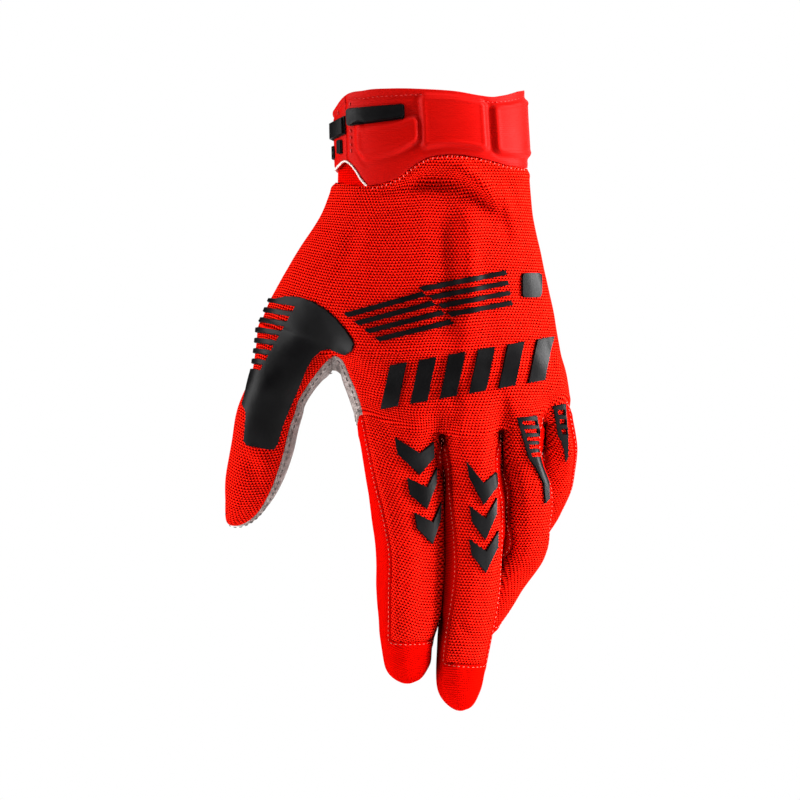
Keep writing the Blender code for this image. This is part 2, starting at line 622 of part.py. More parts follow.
def cut_patch(points, normals, chart, triangles, outline, holes=()):
    """The part of a surface inside an outline on its chart: points, normals and triangles."""
    loops = [[Vector((x, y, 0.0)) for x, y in loop] for loop in (outline, *holes)]
    corners = [v for loop in loops for v in loop]
    cells = []
    for cell in tessellate_polygon(loops):
        a, b, c = (np.array(corners[i][:2]) for i in cell)
        turn = (b[0] - a[0]) * (c[1] - a[1]) - (b[1] - a[1]) * (c[0] - a[0])
        if abs(turn) > 1e-14:
            cells.append((a, b, c) if turn > 0 else (a, c, b))
    data = np.hstack([chart, points, normals])
    found, pieces = [], []
    for triangle in triangles:
        shape = [data[i] for i in triangle]
        spread = np.array([p[:2] for p in shape])
        for cell in cells:
            box = np.array(cell)
            if (spread.max(0) < box.min(0)).any() or (spread.min(0) > box.max(0)).any():
                continue
            piece = shape
            for k in range(3):
                piece = clip(piece, cell[k], cell[(k + 1) % 3] - cell[k])
                if len(piece) < 3:
                    break
            if len(piece) < 3:
                continue
            pieces.append(list(range(len(found), len(found) + len(piece))))
            found += piece
    found = np.array(found)
    same = joined_points(found[:, 2:5])
    pieces = [list(dict.fromkeys(same[i] for i in ids)) for ids in pieces]
    pieces = [ids for ids in pieces if len(ids) > 2]
    facing = found[:, 5:8] / np.linalg.norm(found[:, 5:8], axis=1, keepdims=True)
    return found[:, 2:5], facing, merged(found[:, 2:5], pieces)


def joined_points(points):
    """For each point the first one that lies at the same place."""
    tree = KDTree(len(points))
    for i, point in enumerate(points):
        tree.insert(point, i)
    tree.balance()
    same = [-1] * len(points)
    for i, point in enumerate(points):
        if same[i] < 0:
            for _, other, _ in tree.find_range(point, SAME_PLACE):
                if same[other] < 0:
                    same[other] = i
    return same


def merged(points, pieces):
    """The pieces as triangles, after those that lie in one plane are joined, so that few are left."""
    mesh = bmesh.new()
    number = mesh.verts.layers.int.new("number")
    corners = []
    for i, point in enumerate(points):
        corners.append(mesh.verts.new(point))
        corners[-1][number] = i
    for ids in pieces:
        mesh.faces.new([corners[i] for i in ids])
    for corner in corners:
        if not corner.link_faces:
            mesh.verts.remove(corner)
    bmesh.ops.dissolve_limit(
        mesh, angle_limit=FLAT_ANGLE, use_dissolve_boundaries=False, verts=mesh.verts[:], edges=mesh.edges[:]
    )
    bmesh.ops.triangulate(mesh, faces=mesh.faces[:])
    triangles = [tuple(corner[number] for corner in face.verts) for face in mesh.faces]
    mesh.free()
    return triangles


def raised_solid(points, normals, triangles, gap, height):
    """A thin solid that follows a surface, from gap to gap + height above it."""
    used = sorted({i for t in triangles for i in t})
    number = {old: new for new, old in enumerate(used)}
    points, normals = points[used], normals[used]
    triangles = [tuple(number[i] for i in t) for t in triangles]
    count = len(points)
    low = points + normals * gap
    high = points + normals * (gap + height)
    solid = [tuple(t) for t in triangles]
    solid += [(c + count, b + count, a + count) for a, b, c in triangles]
    edges = {(a, b) for t in triangles for a, b in zip(t, (*t[1:], t[0]))}
    for a, b in sorted(edges):
        if (b, a) not in edges:
            solid += [(b, a, a + count), (b, a + count, b + count)]
    return np.vstack([high, low]), solid


def material(name):
    found = bpy.data.materials.get(name)
    if found:
        return found
    colour, roughness = COLOURS[name]
    made = bpy.data.materials.new(name)
    made.use_nodes = True
    shader = made.node_tree.nodes["Principled BSDF"]
    shader.inputs["Base Color"].default_value = (*colour, 1.0)
    shader.inputs["Roughness"].default_value = roughness
    shader.inputs["Metallic"].default_value = 0.0
    made.diffuse_color = (*colour, 1.0)
    return made


def add_object(name, points, faces, finish):
    mesh = bpy.data.meshes.new(name)
    mesh.from_pydata([tuple(p) for p in points], [], [tuple(int(i) for i in f) for f in faces])
    mesh.materials.append(material(finish))
    mesh.validate()
    mesh.shade_smooth()
    mesh.set_sharp_from_angle(angle=math.radians(40))
    made = bpy.data.objects.new(name, mesh)
    bpy.context.scene.collection.objects.link(made)
    return made


def panel_of(place):
    """The panel that a face of the skin belongs to."""
    part, side, column, row = place
    if part == "body":
        return "palm" if side == "back" else "back_panel"
    if part == "hand":
        return "back_panel" if side == "front" or side == "right" else "palm"
    if part == "thumb":
        return "back_panel" if side == "front" or side == "left" else "thumb_palm"
    if side == "front" and row < DIGITS[part].seam_row:
        return "back_panel"
    return "palm" if side == "back" else part + "_sidewall"


def build_panels(points, normals, skin):
    walls = {"back_panel": ("knit", KNIT_WALL), "palm": ("suede", SUEDE_WALL), "thumb_palm": ("suede", SUEDE_WALL)}
    for name in FINGERS:
        walls[name + "_sidewall"] = ("stretch", STRETCH_WALL)
    owned = {panel: [f for f, place in zip(skin.faces, skin.places) if panel_of(place) == panel] for panel in walls}
    meeting = np.zeros(len(points), int)
    for faces in owned.values():
        meeting[sorted({i for corners in faces for i in corners})] += 1
    gaps = np.where(meeting > 2, CORNER_GAP, SEAM_GAP) / 2
    corners = points[meeting > 2]
    away = np.linalg.norm(points[:, None] - corners[None], axis=2).min(axis=1)
    thinning = WEB_THINNING + (1 - WEB_THINNING) * np.clip(away / WEB_REACH, 0, 1)
    for panel, (finish, wall) in walls.items():
        add_object(panel, *panel_solid(points, normals, owned[panel], wall * thinning, gaps), finish)


def cuff_point(share, side, down, lower=True):
    """A point of the cuff: share across, side -1 on the back and 1 on the palm, and the share down from the rim."""
    rim = smooth_curve(RIM_SHARES, RIM_BACK if side < 0 else RIM_PALM, share) * CUFF_HEIGHT
    edge = edge_drop(share)
    if lower and share < NOTCH_SHARES[-1]:
        notch = smooth_curve(NOTCH_SHARES, NOTCH_DROPS, share)
        edge = notch if side < 0 else NOTCH_DROPS[0] + (EDGE_DROPS[2] - NOTCH_DROPS[0]) * share / NOTCH_SHARES[-1]
    bottom = CUFF_HEIGHT + edge * HAND_LENGTH - SEAM_GAP / 2
    left = RIM_LEFT + (SEAM_LEFT - RIM_LEFT) * down
    right = RIM_RIGHT + (SEAM_RIGHT - RIM_RIGHT) * down
    reach = BODY_SECTIONS[0].front if side < 0 else BODY_SECTIONS[0].back
    roundness = CUFF_ROUNDNESS + (BODY_ROUNDNESS - CUFF_ROUNDNESS) * down
    sets = (BODY_SECTIONS[0].set0, BODY_SECTIONS[0].set1, BODY_SECTIONS[0].set2)
    return np.array([
        (left + (right - left) * share) * CUFF_WIDTH,
        through_three(sets, share) * HAND_DEPTH + side * reach * CUFF_DEPTH * float(bulge(share, roundness)),
        -(rim + (bottom - rim) * down),
    ])


def pad_rise(share, side, down):
    """How far the cuff's pads stand out of it there."""
    across = share if side < 0 else 2 - share
    rise = 0.0
    for pad in PADS:
        ways = (
            (across - pad.left) * CUFF_WIDTH,
            (pad.right - across) * CUFF_WIDTH,
            (down - pad.top) * CUFF_HEIGHT,
            (pad.bottom - down) * CUFF_HEIGHT,
        )
        steps = [min(max(w / PAD_BEVEL, 0.0), 1.0) for w in ways]
        rise = max(rise, math.prod(s * s * (3 - 2 * s) for s in steps))
    return rise * PAD_HEIGHT


def grid(columns, rows, point):
    """A grid of points and its faces, facing out when the columns run with the back to the viewer's right."""
    points = np.array([point(column, row) for row in rows for column in columns])
    faces, count = [], len(columns)
    for r in range(len(rows) - 1):
        for c in range(count - 1):
            at = r * count + c
            faces.append((at, at + count, at + count + 1, at + 1))
    triangles, _ = triangles_of(faces)
    return points, point_normals(points, triangles), faces


def build_cuff():
    columns = [(s, -1) for s in CUFF_BACK_SHARES] + [(s, 1) for s in CUFF_PALM_SHARES]
    points, normals, faces = grid(columns, CUFF_ROWS, lambda c, down: cuff_point(*c, down))
    rise = np.array([pad_rise(*c, down) for down in CUFF_ROWS for c in columns])
    points = points + normals * rise[:, None]
    add_object("cuff", *panel_solid(points, normals, faces, CUFF_WALL, SEAM_GAP / 2), "neoprene")
    return columns, points, normals, faces


def flap_lift(share, side):
    """How far the flap stands off the cuff's own surface, where it laps over the cuff's end on the palm side."""
    if side < 0:
        return 0.0
    t = min(share / FLAP_RISE_END, 1.0)
    return (CUFF_WALL + LAYER_GAP) * t * t * (3 - 2 * t)


def build_flap():
    columns = [(s, 1) for s in reversed(FLAP_PALM_SHARES)] + [(s, -1) for s in reversed(FLAP_BACK_SHARES)]
    points, normals, faces = grid(columns, CUFF_ROWS, lambda c, down: cuff_point(*c, down))
    lift = np.array([flap_lift(*c) for _ in CUFF_ROWS for c in columns])
    points = points + normals * lift[:, None]
    add_object("wrist_flap", *panel_solid(points, normals, faces, CUFF_WALL, SEAM_GAP / 2), "neoprene")
    return columns, points, normals, faces


def build_gusset():
    """The stretch piece behind the slit, one layer further in than the cuff and the knit."""
    columns = [(s, 1) for s in reversed(GUSSET_PALM_SHARES)] + [(s, -1) for s in reversed(GUSSET_BACK_SHARES)]

    def place(column, up):
        low = np.array(section_point(BODY_SECTIONS[0], *column, ()))
        return low + np.array([0.0, 0.0, GUSSET_HEIGHT * up])

    points, normals, faces = grid(columns, tuple(reversed(GUSSET_ROWS)), place)
    points = points - normals * (CUFF_WALL + LAYER_GAP)
    add_object("slit_gusset", *panel_solid(points, normals, faces, STRETCH_WALL, 0.0), "stretch")


def rounded(outline, radius, steps=3):
    """An outline with each corner cut by a short arc."""
    made = []
    points = [np.array(p, float) for p in outline]
    for k, corner in enumerate(points):
        before, after = points[k - 1], points[(k + 1) % len(points)]
        back = (before - corner) / np.linalg.norm(before - corner)
        ahead = (after - corner) / np.linalg.norm(after - corner)
        reach = min(radius, 0.4 * np.linalg.norm(before - corner), 0.4 * np.linalg.norm(after - corner))
        start, end = corner + back * reach, corner + ahead * reach
        for t in np.linspace(0, 1, steps):
            made.append(tuple((1 - t) ** 2 * start + 2 * t * (1 - t) * corner + t * t * end))
    return made


def on_cuff(grid_parts, name, outline, height):
    """A rubber strip on a grid of the cuff, from its outline in shares across and drops from the mouth."""
    columns, points, normals, faces = grid_parts
    across = [s if side < 0 else -s for s, side in columns] * (len(points) // len(columns))
    chart = np.stack([np.array(across) * CUFF_WIDTH, points[:, 2]], axis=1)
    scaled = [(x * CUFF_WIDTH, -y * CUFF_HEIGHT) for x, y in outline]
    triangles, _ = triangles_of(faces)
    keep = [t for t in triangles if np.ptp(chart[t, 0]) < 0.5 * CUFF_WIDTH]
    patch = cut_patch(points, normals, chart, keep, rounded(scaled, STRAP_CORNER) if len(scaled) == 4 else scaled)
    add_object(name, *raised_solid(*patch, PRINT_GAP, height), "rubber")


def build_closure(cuff, flap):
    """The pull tab, the strap that goes round to the palm, and the two bars of the flap's slots."""
    (top_left, top_right), (low_left, low_right) = STRAP_TOPS, STRAP_BOTTOMS
    strap = [(STRAP_LEFT, top_left), (STRAP_LEFT, low_left), (STRAP_RIGHT, low_right), (STRAP_RIGHT, top_right)]
    on_cuff(cuff, "pull_tab", strap, TAB_HEIGHT)
    upper = list(zip(TAB_SHARES, TAB_TOPS))
    lower = list(zip(TAB_SHARES, TAB_BOTTOMS))
    on_cuff(flap, "side_tab", upper + lower[::-1], TAB_HEIGHT)
    for k, (left, right, top, bottom) in enumerate(SLOT_BARS):
        on_cuff(flap, f"flap_slot_{k + 1}", [(left, top), (left, bottom), (right, bottom), (right, top)], PRINT_HEIGHT)


def in_front_view(x, drop):
    """A place in the front view, in metres, from its shares of the hand."""
    return x * HAND_WIDTH, -CUFF_HEIGHT - drop * HAND_LENGTH


def stripe(group, k):
    """A skewed bar of the back's stripes."""
    x0, drop0 = group.x0 + group.step_x0 * k, group.drop0 + group.step_drop0 * k
    x1, drop1 = group.x1 + group.step_x1 * k, group.drop1 + group.step_drop1 * k
    return [(x0, drop0), (x0 + group.slant0, drop0 + group.tall), (x1 + group.slant1, drop1 + group.tall), (x1, drop1)]


def block(number):
    """A slanted block of the row across the knuckles."""
    t = number / (BLOCK_COUNT - 1)
    x = BLOCK_FIRST[0] + (BLOCK_LAST[0] - BLOCK_FIRST[0]) * t
    drop = BLOCK_FIRST[1] + (BLOCK_LAST[1] - BLOCK_FIRST[1]) * t
    half, tall, slant = BLOCK_SIZE[0] / 2, BLOCK_SIZE[1] / 2, BLOCK_SLANT / 2
    rise = half * (BLOCK_FIRST[1] - BLOCK_LAST[1]) / (BLOCK_LAST[0] - BLOCK_FIRST[0])
    return [
        (x - half + slant, drop - tall + rise), (x - half - slant, drop + tall + rise),
        (x + half - slant, drop + tall - rise), (x + half + slant, drop - tall - rise),
    ]


def chevron(c):
    """A chevron that points down the finger."""
    left, right = (c.x - c.left, c.drop - c.left_rise), (c.x + c.right, c.drop - c.right_rise)
    return [
        left, (left[0] + 0.012, left[1] + CHEVRON_ARM), (c.x, c.drop + CHEVRON_TIP),
        (right[0], right[1] + CHEVRON_ARM), right, (c.x, c.drop),
    ]


def guard(g):
    """A knuckle guard's outline, and its slots."""
    fall = g.tip - g.waist
    outline = [
        (g.top_left, g.top), (g.waist_left, g.waist), (0.6 * g.waist_left + 0.4 * g.tip_left, g.waist + 0.2 * fall),
        (g.tip_left - 0.008, g.waist + 0.55 * fall), (g.tip_left, g.tip), (g.tip_right, g.tip - 0.02),
        (0.3 * g.waist_right + 0.7 * g.tip_right, g.waist + 0.35 * fall), (g.waist_right, g.waist),
        (g.top_right, g.top - 0.008),
    ]
    holes = []
    for k in range(g.slots):
        shares = [(k + 0.40) / (g.slots + 0.1), (k + 0.90) / (g.slots + 0.1)]
        drops = [g.top + (g.waist - g.top) * t for t in shares]
        lefts = [g.top_left + (g.waist_left - g.top_left) * t + GUARD_EDGE[0] for t in shares]
        rights = [g.top_right + (g.waist_right - g.top_right) * t - GUARD_EDGE[1] for t in shares]
        holes.append([(lefts[0], drops[0]), (lefts[1], drops[1]), (rights[1], drops[1]), (rights[0], drops[0])])
    return outline, holes


def patch_outline():
    """The thumb's patch: a rounded body with a comb of stripes towards the thumb's outer side."""
    outline = list(PATCH)
    for k in reversed(range(PATCH_STRIPE_COUNT)):
        x = PATCH_STRIPE[0] + PATCH_STRIPE_STEP[0] * k
        drop = PATCH_STRIPE[1] + PATCH_STRIPE_STEP[1] * k
        far = drop - (x - PATCH_SIDE) * PATCH_STRIPE_FALL
        outline += [
            (PATCH_SIDE, far + PATCH_STRIPE_TALL), (x - 0.012, drop + PATCH_STRIPE_TALL), (x, drop), (PATCH_SIDE, far),
        ]
    outline.append((PATCH_SIDE, PATCH[0][1] - 0.006))
    return outline


def on_back(name, view, outline, holes=()):
    """A print on the back of the hand, from its outline in the front view."""
    points, normals, triangles = view
    loops = [[in_front_view(*place) for place in loop] for loop in (outline, *holes)]
    patch = cut_patch(points, normals, points[:, [0, 2]], triangles, loops[0], loops[1:])
    add_object(name, *raised_solid(*patch, PRINT_GAP, PRINT_HEIGHT), "rubber")


def front_triangles(points, faces, places, wanted):
    """The triangles of the chosen faces that the front view sees."""
    triangles, owners = triangles_of(faces)
    a, b, c = (points[triangles[:, k]] for k in range(3))
    facing = np.cross(b - a, c - a)[:, 1] < 0
    return [t for t, owner, seen in zip(triangles, owners, facing) if seen and wanted(places[owner])]


def build_prints(points, normals, skin):
    def view(*parts):
        def wanted(place):
            return place[0] in parts and panel_of(place) == "back_panel"

        return points, normals, front_triangles(points, skin.faces, skin.places, wanted)

    back = view("body", "hand", *FINGERS)
    for side, group in STRIPES.items():
        for k in range(STRIPE_COUNT):
            on_back(f"back_stripe_{side}_{k + 1}", back, stripe(group, k))
    for k in range(BLOCK_COUNT):
        on_back(f"knuckle_block_{k + 1}", back, block(k))
    x, drop, wide, tall = BADGE
    left, right, top, bottom = x - wide / 2, x + wide / 2, drop - tall / 2, drop + tall / 2
    badge = rounded([(left, top), (left, bottom), (right, bottom), (right, top)], BADGE_CORNER)
    on_back("badge_pad", back, badge)
    for k, c in enumerate(CHEVRONS):
        on_back(f"{c.finger}_chevron_{k % 3 + 1}", view("hand", c.finger), chevron(c))
    for g in GUARDS:
        outline, holes = guard(g)
        on_back(f"{g.finger}_knuckle_guard", view("hand", g.finger), outline, holes)
    on_back("thumb_patch", view("body", "hand", "thumb"), patch_outline())


def build():
    clear_scene()
    skin = build_skin()
    points = np.array(skin.points)
    triangles, _ = triangles_of(skin.faces)
    points = fold_points(points, point_normals(points, triangles))
    normals = point_normals(points, triangles)
    build_panels(points, normals, skin)
    cuff = build_cuff()
    flap = build_flap()
    build_gusset()
    build_closure(cuff, flap)
    build_prints(points, normals, skin)


build()
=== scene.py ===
"""Looks of the motocross glove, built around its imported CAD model.

The skin is the CAD's own table of sections, subdivided: it is cut along the same seams into panels, and the
cuff, the flap and the prints follow the same values. Metres, +Z up, the back of the hand faces -Y.
"""

import math
from collections import namedtuple

import bmesh
import bpy
import numpy as np
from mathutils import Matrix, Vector, noise
from mathutils.geometry import tessellate_polygon
from mathutils.kdtree import KDTree


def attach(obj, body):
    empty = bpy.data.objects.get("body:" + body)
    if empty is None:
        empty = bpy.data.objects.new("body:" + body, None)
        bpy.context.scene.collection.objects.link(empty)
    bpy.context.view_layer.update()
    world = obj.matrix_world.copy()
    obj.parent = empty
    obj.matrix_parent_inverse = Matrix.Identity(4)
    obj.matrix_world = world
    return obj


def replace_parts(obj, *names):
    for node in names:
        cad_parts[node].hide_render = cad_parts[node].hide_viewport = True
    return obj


# The CAD's sizes and tables, repeated

# Cuff
CUFF_WIDTH = 0.0755
CUFF_DEPTH = 0.0460
CUFF_HEIGHT = 0.0255
CUFF_WALL = 0.0022
PAD_HEIGHT = 0.0012
PAD_BEVEL = 0.0016
# Hand
HAND_LENGTH = 0.1085
HAND_WIDTH = 0.0830
HAND_DEPTH = 0.0300
SAME_PLACE = 6e-6
# Walls and clearances
KNIT_WALL = 0.0011
SUEDE_WALL = 0.0011
STRETCH_WALL = 0.0010
SEAM_GAP = 0.0006
LAYER_GAP = 0.0004
PRINT_GAP = 0.0003
PRINT_HEIGHT = 0.0007
TAB_HEIGHT = 0.0014
# Columns of the skin: quads across the back of the thumb and of each finger
THUMB_COLUMNS = 4
FINGER_COLUMNS = 4
FINGERS = ("index", "middle", "ring", "little")
# Roundness of the sections, and how far in from the side the seams lie, as a share of the width
BODY_ROUNDNESS = 2.4
CUFF_ROUNDNESS = 2.2
BODY_INSET = 0.024
DIGIT_INSET = 0.065
# Sections of the hand. along, and the drops at five places across, are shares of HAND_LENGTH below the cuff's
# seam; left and right are shares of the width there, front and back of the depth there, and the sets of
# HAND_DEPTH
Section = namedtuple(
    "Section", "along drop0 drop1 drop2 drop3 drop4 left right set0 set1 set2 front back fall"
)
BODY_SECTIONS = (
    Section(0.000, 0.090, 0.104, 0.005, 0.011, 0.043, -0.492, 0.508, 0.05, 0.00, 0.05, 0.450, 0.460, 0.00),
    Section(0.154, 0.211, 0.202, 0.146, 0.150, 0.171, -0.556, 0.515, 0.13, 0.00, 0.08, 0.430, 0.460, 0.00),
    Section(0.314, 0.332, 0.334, 0.311, 0.307, 0.318, -0.655, 0.543, 0.27, 0.00, 0.13, 0.400, 0.470, 0.00),
    Section(0.493, 0.486, 0.498, 0.489, 0.486, 0.496, -0.770, 0.592, 0.42, 0.00, 0.20, 0.380, 0.470, 0.01),
    Section(0.700, 0.600, 0.714, 0.696, 0.689, 0.689, -0.832, 0.633, 0.55, 0.00, 0.27, 0.380, 0.460, 0.05),
)
HAND_SECTIONS = (
    Section(0.700, 0.714, 0.706, 0.696, 0.689, 0.689, -0.466, 0.633, 0.18, 0.00, 0.27, 0.390, 0.460, 0.03),
    Section(0.850, 0.825, 0.846, 0.857, 0.832, 0.789, -0.387, 0.657, 0.12, 0.00, 0.30, 0.410, 0.460, 0.05),
    Section(1.000, 0.911, 0.975, 1.000, 0.964, 0.861, -0.344, 0.660, 0.10, 0.00, 0.33, 0.430, 0.460, 0.07),
)
# Where across a section its five drops are
DROP_PLACES = (0, 0.25, 0.5, 0.75, 1)
BODY_ROWS = (0.0, 0.05, 0.105, 0.165, 0.235, 0.32, 0.41, 0.50, 0.58, 0.65, 0.70)
HAND_ROWS = (0.70, 0.775, 0.85, 0.925, 1.0)
# Shares of the width where the thumb ends and each finger ends, at the cuff's seam and at the thumb's crotch,
# and of the hand without the thumb
ENDS_AT_SEAM = (0.12, 0.42, 0.66, 0.86)
ENDS_AT_CROTCH = (0.24, 0.54, 0.757, 0.917)
ENDS_OF_FINGERS = (0.395, 0.68, 0.89)
# How much thinner the hand is there just above the thumb's crotch and the webs, and over what share of the
# width
CROTCH_PINCH, CROTCH_REACH = 0.52, 0.055
WEB_PINCH, WEB_REACH = 0.40, 0.04
# Sections of the digits: drop, side and set (away from the back of the hand) are shares of the digit's
# length, width and depth of its own, and twist turns its left side to the front, in degrees: (drop, side,
# set, width, depth, twist)
THUMB_JOINTS = (
    (0.150, -0.090, 0.02, 0.96, 1.02, -4),
    (0.330, -0.152, 0.05, 0.99, 1.00, -10),
    (0.480, -0.180, 0.08, 0.97, 0.98, -14),
    (0.600, -0.213, 0.11, 0.91, 0.92, -15),
    (0.715, -0.252, 0.14, 0.79, 0.82, -12),
    (0.795, -0.287, 0.165, 0.60, 0.68, -6),
    (0.850, -0.322, 0.18, 0.36, 0.48, 0),
    (0.890, -0.355, 0.19, 0.10, 0.12, 0),
)
INDEX_JOINTS = (
    (0.09, 0.004, 0.000, 1.10, 1.08, 3),
    (0.21, 0.020, 0.000, 1.09, 1.05, 10),
    (0.33, 0.031, 0.004, 1.05, 1.00, 19),
    (0.44, 0.036, 0.012, 0.995, 0.96, 24),
    (0.56, 0.031, 0.024, 0.965, 0.90, 26),
    (0.68, 0.032, 0.042, 0.91, 0.84, 22),
    (0.79, 0.021, 0.066, 0.77, 0.76, 20),
    (0.870, 0.026, 0.092, 0.68, 0.66, 14),
    (0.925, 0.036, 0.106, 0.53, 0.46, 8),
    (0.958, 0.052, 0.116, 0.14, 0.12, 4),
)
MIDDLE_JOINTS = (
    (0.09, 0.002, 0.000, 0.97, 1.06, 3),
    (0.20, 0.005, 0.004, 1.055, 1.04, 12),
    (0.31, 0.006, 0.014, 1.05, 1.02, 18),
    (0.42, 0.006, 0.028, 1.01, 0.98, 22),
    (0.52, 0.000, 0.046, 1.00, 0.94, 22),
    (0.62, -0.010, 0.068, 1.00, 0.90, 18),
    (0.72, -0.027, 0.090, 0.96, 0.84, 18),
    (0.82, -0.039, 0.112, 0.86, 0.76, 14),
    (0.905, -0.040, 0.130, 0.76, 0.64, 10),
    (0.945, -0.031, 0.140, 0.53, 0.44, 6),
    (0.975, -0.020, 0.146, 0.13, 0.12, 4),
)
RING_JOINTS = (
    (0.090, 0.000, 0.002, 0.80, 0.90, 2),
    (0.194, 0.022, 0.018, 0.94, 1.00, 12),
    (0.310, 0.016, 0.052, 0.96, 1.00, 20),
    (0.426, 0.010, 0.105, 0.93, 0.98, 22),
    (0.540, -0.064, 0.172, 0.94, 0.95, 20),
    (0.635, -0.116, 0.232, 0.93, 0.90, 16),
    (0.710, -0.161, 0.282, 0.86, 0.84, 12),
    (0.770, -0.202, 0.322, 0.76, 0.74, 8),
    (0.810, -0.226, 0.346, 0.55, 0.55, 4),
    (0.840, -0.246, 0.362, 0.12, 0.12, 0),
)
LITTLE_JOINTS = (
    (0.110, 0.026, 0.070, 0.74, 0.90, 2),
    (0.232, 0.010, 0.195, 0.86, 1.00, 6),
    (0.367, -0.028, 0.300, 0.95, 1.00, 12),
    (0.498, -0.104, 0.420, 0.96, 0.98, 14),
    (0.609, -0.176, 0.537, 0.94, 0.94, 12),
    (0.696, -0.230, 0.625, 0.86, 0.88, 8),
    (0.763, -0.268, 0.690, 0.64, 0.66, 4),
    (0.810, -0.290, 0.730, 0.12, 0.12, 0),
)
# The length runs from the root to the tip, and the width and depth are at the middle joint; the last value is
# the ring where the knit ends and the fingertip begins
Digit = namedtuple("Digit", "joints length width depth seam_row")
DIGITS = {
    "thumb": Digit(THUMB_JOINTS, 0.0765, 0.0248, 0.0225, None),
    "index": Digit(INDEX_JOINTS, 0.1000, 0.0265, 0.0235, 7),
    "middle": Digit(MIDDLE_JOINTS, 0.1060, 0.0213, 0.0210, 7),
    "ring": Digit(RING_JOINTS, 0.1000, 0.0192, 0.0190, 7),
    "little": Digit(LITTLE_JOINTS, 0.0800, 0.0164, 0.0160, 7),
}
# Where a digit's rings lie between its first and last joint, as shares of that way
DIGIT_ROWS = (0.0, 0.13, 0.27, 0.41, 0.55, 0.68, 0.785, 0.87, 0.93, 0.975)
# How much of the root's fall towards the palm the digit's first rings keep
ROOT_LEAN = (0.7, 0.4, 0.15)
# Folds in the back of the hand: the ends and the bend of each in the front view, as shares of HAND_WIDTH from
# the middle and of HAND_LENGTH below the cuff's seam, with the width and depth as shares of HAND_DEPTH; a
# negative depth is a ridge
Fold = namedtuple("Fold", "x0 drop0 x1 drop1 x2 drop2 width depth")
FOLDS = (
    Fold(-0.29, 0.145, 0.06, 0.020, 0.36, 0.260, 0.12, 0.085),
    Fold(0.08, 0.045, 0.26, 0.070, 0.40, 0.215, 0.10, -0.055),
    Fold(-0.31, 0.200, -0.18, 0.090, -0.02, 0.075, 0.09, -0.030),
    Fold(-0.36, 0.230, -0.33, 0.330, -0.42, 0.430, 0.10, 0.028),
    Fold(0.17, 0.180, 0.18, 0.350, 0.17, 0.520, 0.12, -0.022),
    Fold(0.06, 0.160, 0.08, 0.330, 0.09, 0.520, 0.13, 0.026),
    Fold(0.09, 0.780, 0.10, 0.880, 0.05, 0.960, 0.10, 0.026),
)
# Outline of the cuff: drop of the rim as a share of CUFF_HEIGHT, across the back and across the palm
RIM_SHARES = (0.0, 0.05, 0.17, 0.30, 0.50, 0.65, 0.77, 0.83, 0.90, 1.0)
RIM_BACK = (0.32, 0.120, 0.000, -0.025, -0.012, 0.020, 0.08, 0.100, 0.076, -0.010)
RIM_PALM = (0.32, 0.30, 0.24, 0.20, 0.16, 0.13, 0.10, 0.08, 0.05, -0.015)
# Drop of the cuff's lower edge below its seam's middle, as a share of HAND_LENGTH: the notch of the slit is
# at the left
NOTCH_SHARES = (0.0, 0.03, 0.055, 0.08, 0.11, 0.14, 0.165)
NOTCH_DROPS = (0.055, 0.031, 0.020, 0.029, 0.054, 0.088, 0.108)
EDGE_SHARES = (0.0, 0.08, 0.165, 0.26, 0.34, 0.40, 0.47, 0.54, 0.70, 0.80, 0.90, 1.0)
EDGE_DROPS = (0.090, 0.102, 0.108, 0.096, 0.072, 0.040, 0.011, 0.000, 0.003, 0.018, 0.036, 0.043)
EDGE_REACH = 0.17
RIM_LEFT, RIM_RIGHT = -0.500, 0.484
SEAM_LEFT, SEAM_RIGHT = -0.492, 0.508
# Raised pads of the cuff: shares across, and of the way from the rim down to the edge
Pad = namedtuple("Pad", "left right top bottom")
PADS = (
    Pad(0.118, 0.440, 0.375, 0.720),
    Pad(0.455, 0.790, 0.080, 0.860),
    Pad(0.828, 1.200, 0.110, 0.860),
)
FLAP_SEAM = 0.070
FLAP_END = 0.520
FLAP_RISE_END = 0.130
CUFF_PALM_END = 0.150
GUSSET_START, GUSSET_END = -0.14, 0.165
GUSSET_HEIGHT = 0.0150
# Prints on the back, in the front view: x as a share of HAND_WIDTH from the middle, drop as a share of
# HAND_LENGTH below the cuff's seam. In each group of stripes one row gives the first and one the next bar's
# step
Stripes = namedtuple("Stripes", "x0 drop0 x1 drop1 step_x0 step_drop0 step_x1 step_drop1 tall slant0 slant1")
STRIPE_COUNT = 4
STRIPES = {
    "left": Stripes(-0.402, 0.559, -0.039, 0.483, 0.048, 0.029, 0.043, 0.033, 0.0150, 0.023, 0.025),
    "right": Stripes(-0.054, 0.466, 0.351, 0.406, 0.043, 0.030, 0.009, 0.036, 0.0165, 0.025, 0.007),
}
BLOCK_COUNT = 6
BLOCK_FIRST = (-0.168, 0.818)
BLOCK_LAST = (0.515, 0.725)
BLOCK_SIZE = (0.080, 0.157)
BLOCK_SLANT = 0.042
BADGE = (0.472, 0.459, 0.093, 0.089)
BADGE_CORNER = 0.018
Chevron = namedtuple("Chevron", "finger x drop left right left_rise right_rise")
CHEVRONS = (
    Chevron("index", -0.049, 1.057, 0.114, 0.064, 0.054, 0.040),
    Chevron("index", -0.016, 1.179, 0.091, 0.043, 0.032, 0.070),
    Chevron("index", 0.009, 1.304, 0.084, 0.039, 0.035, 0.071),
    Chevron("middle", 0.249, 1.164, 0.079, 0.060, 0.077, 0.042),
    Chevron("middle", 0.258, 1.290, 0.075, 0.050, 0.045, 0.073),
    Chevron("middle", 0.259, 1.407, 0.077, 0.055, 0.043, 0.073),
)
CHEVRON_ARM, CHEVRON_TIP = 0.059, 0.080
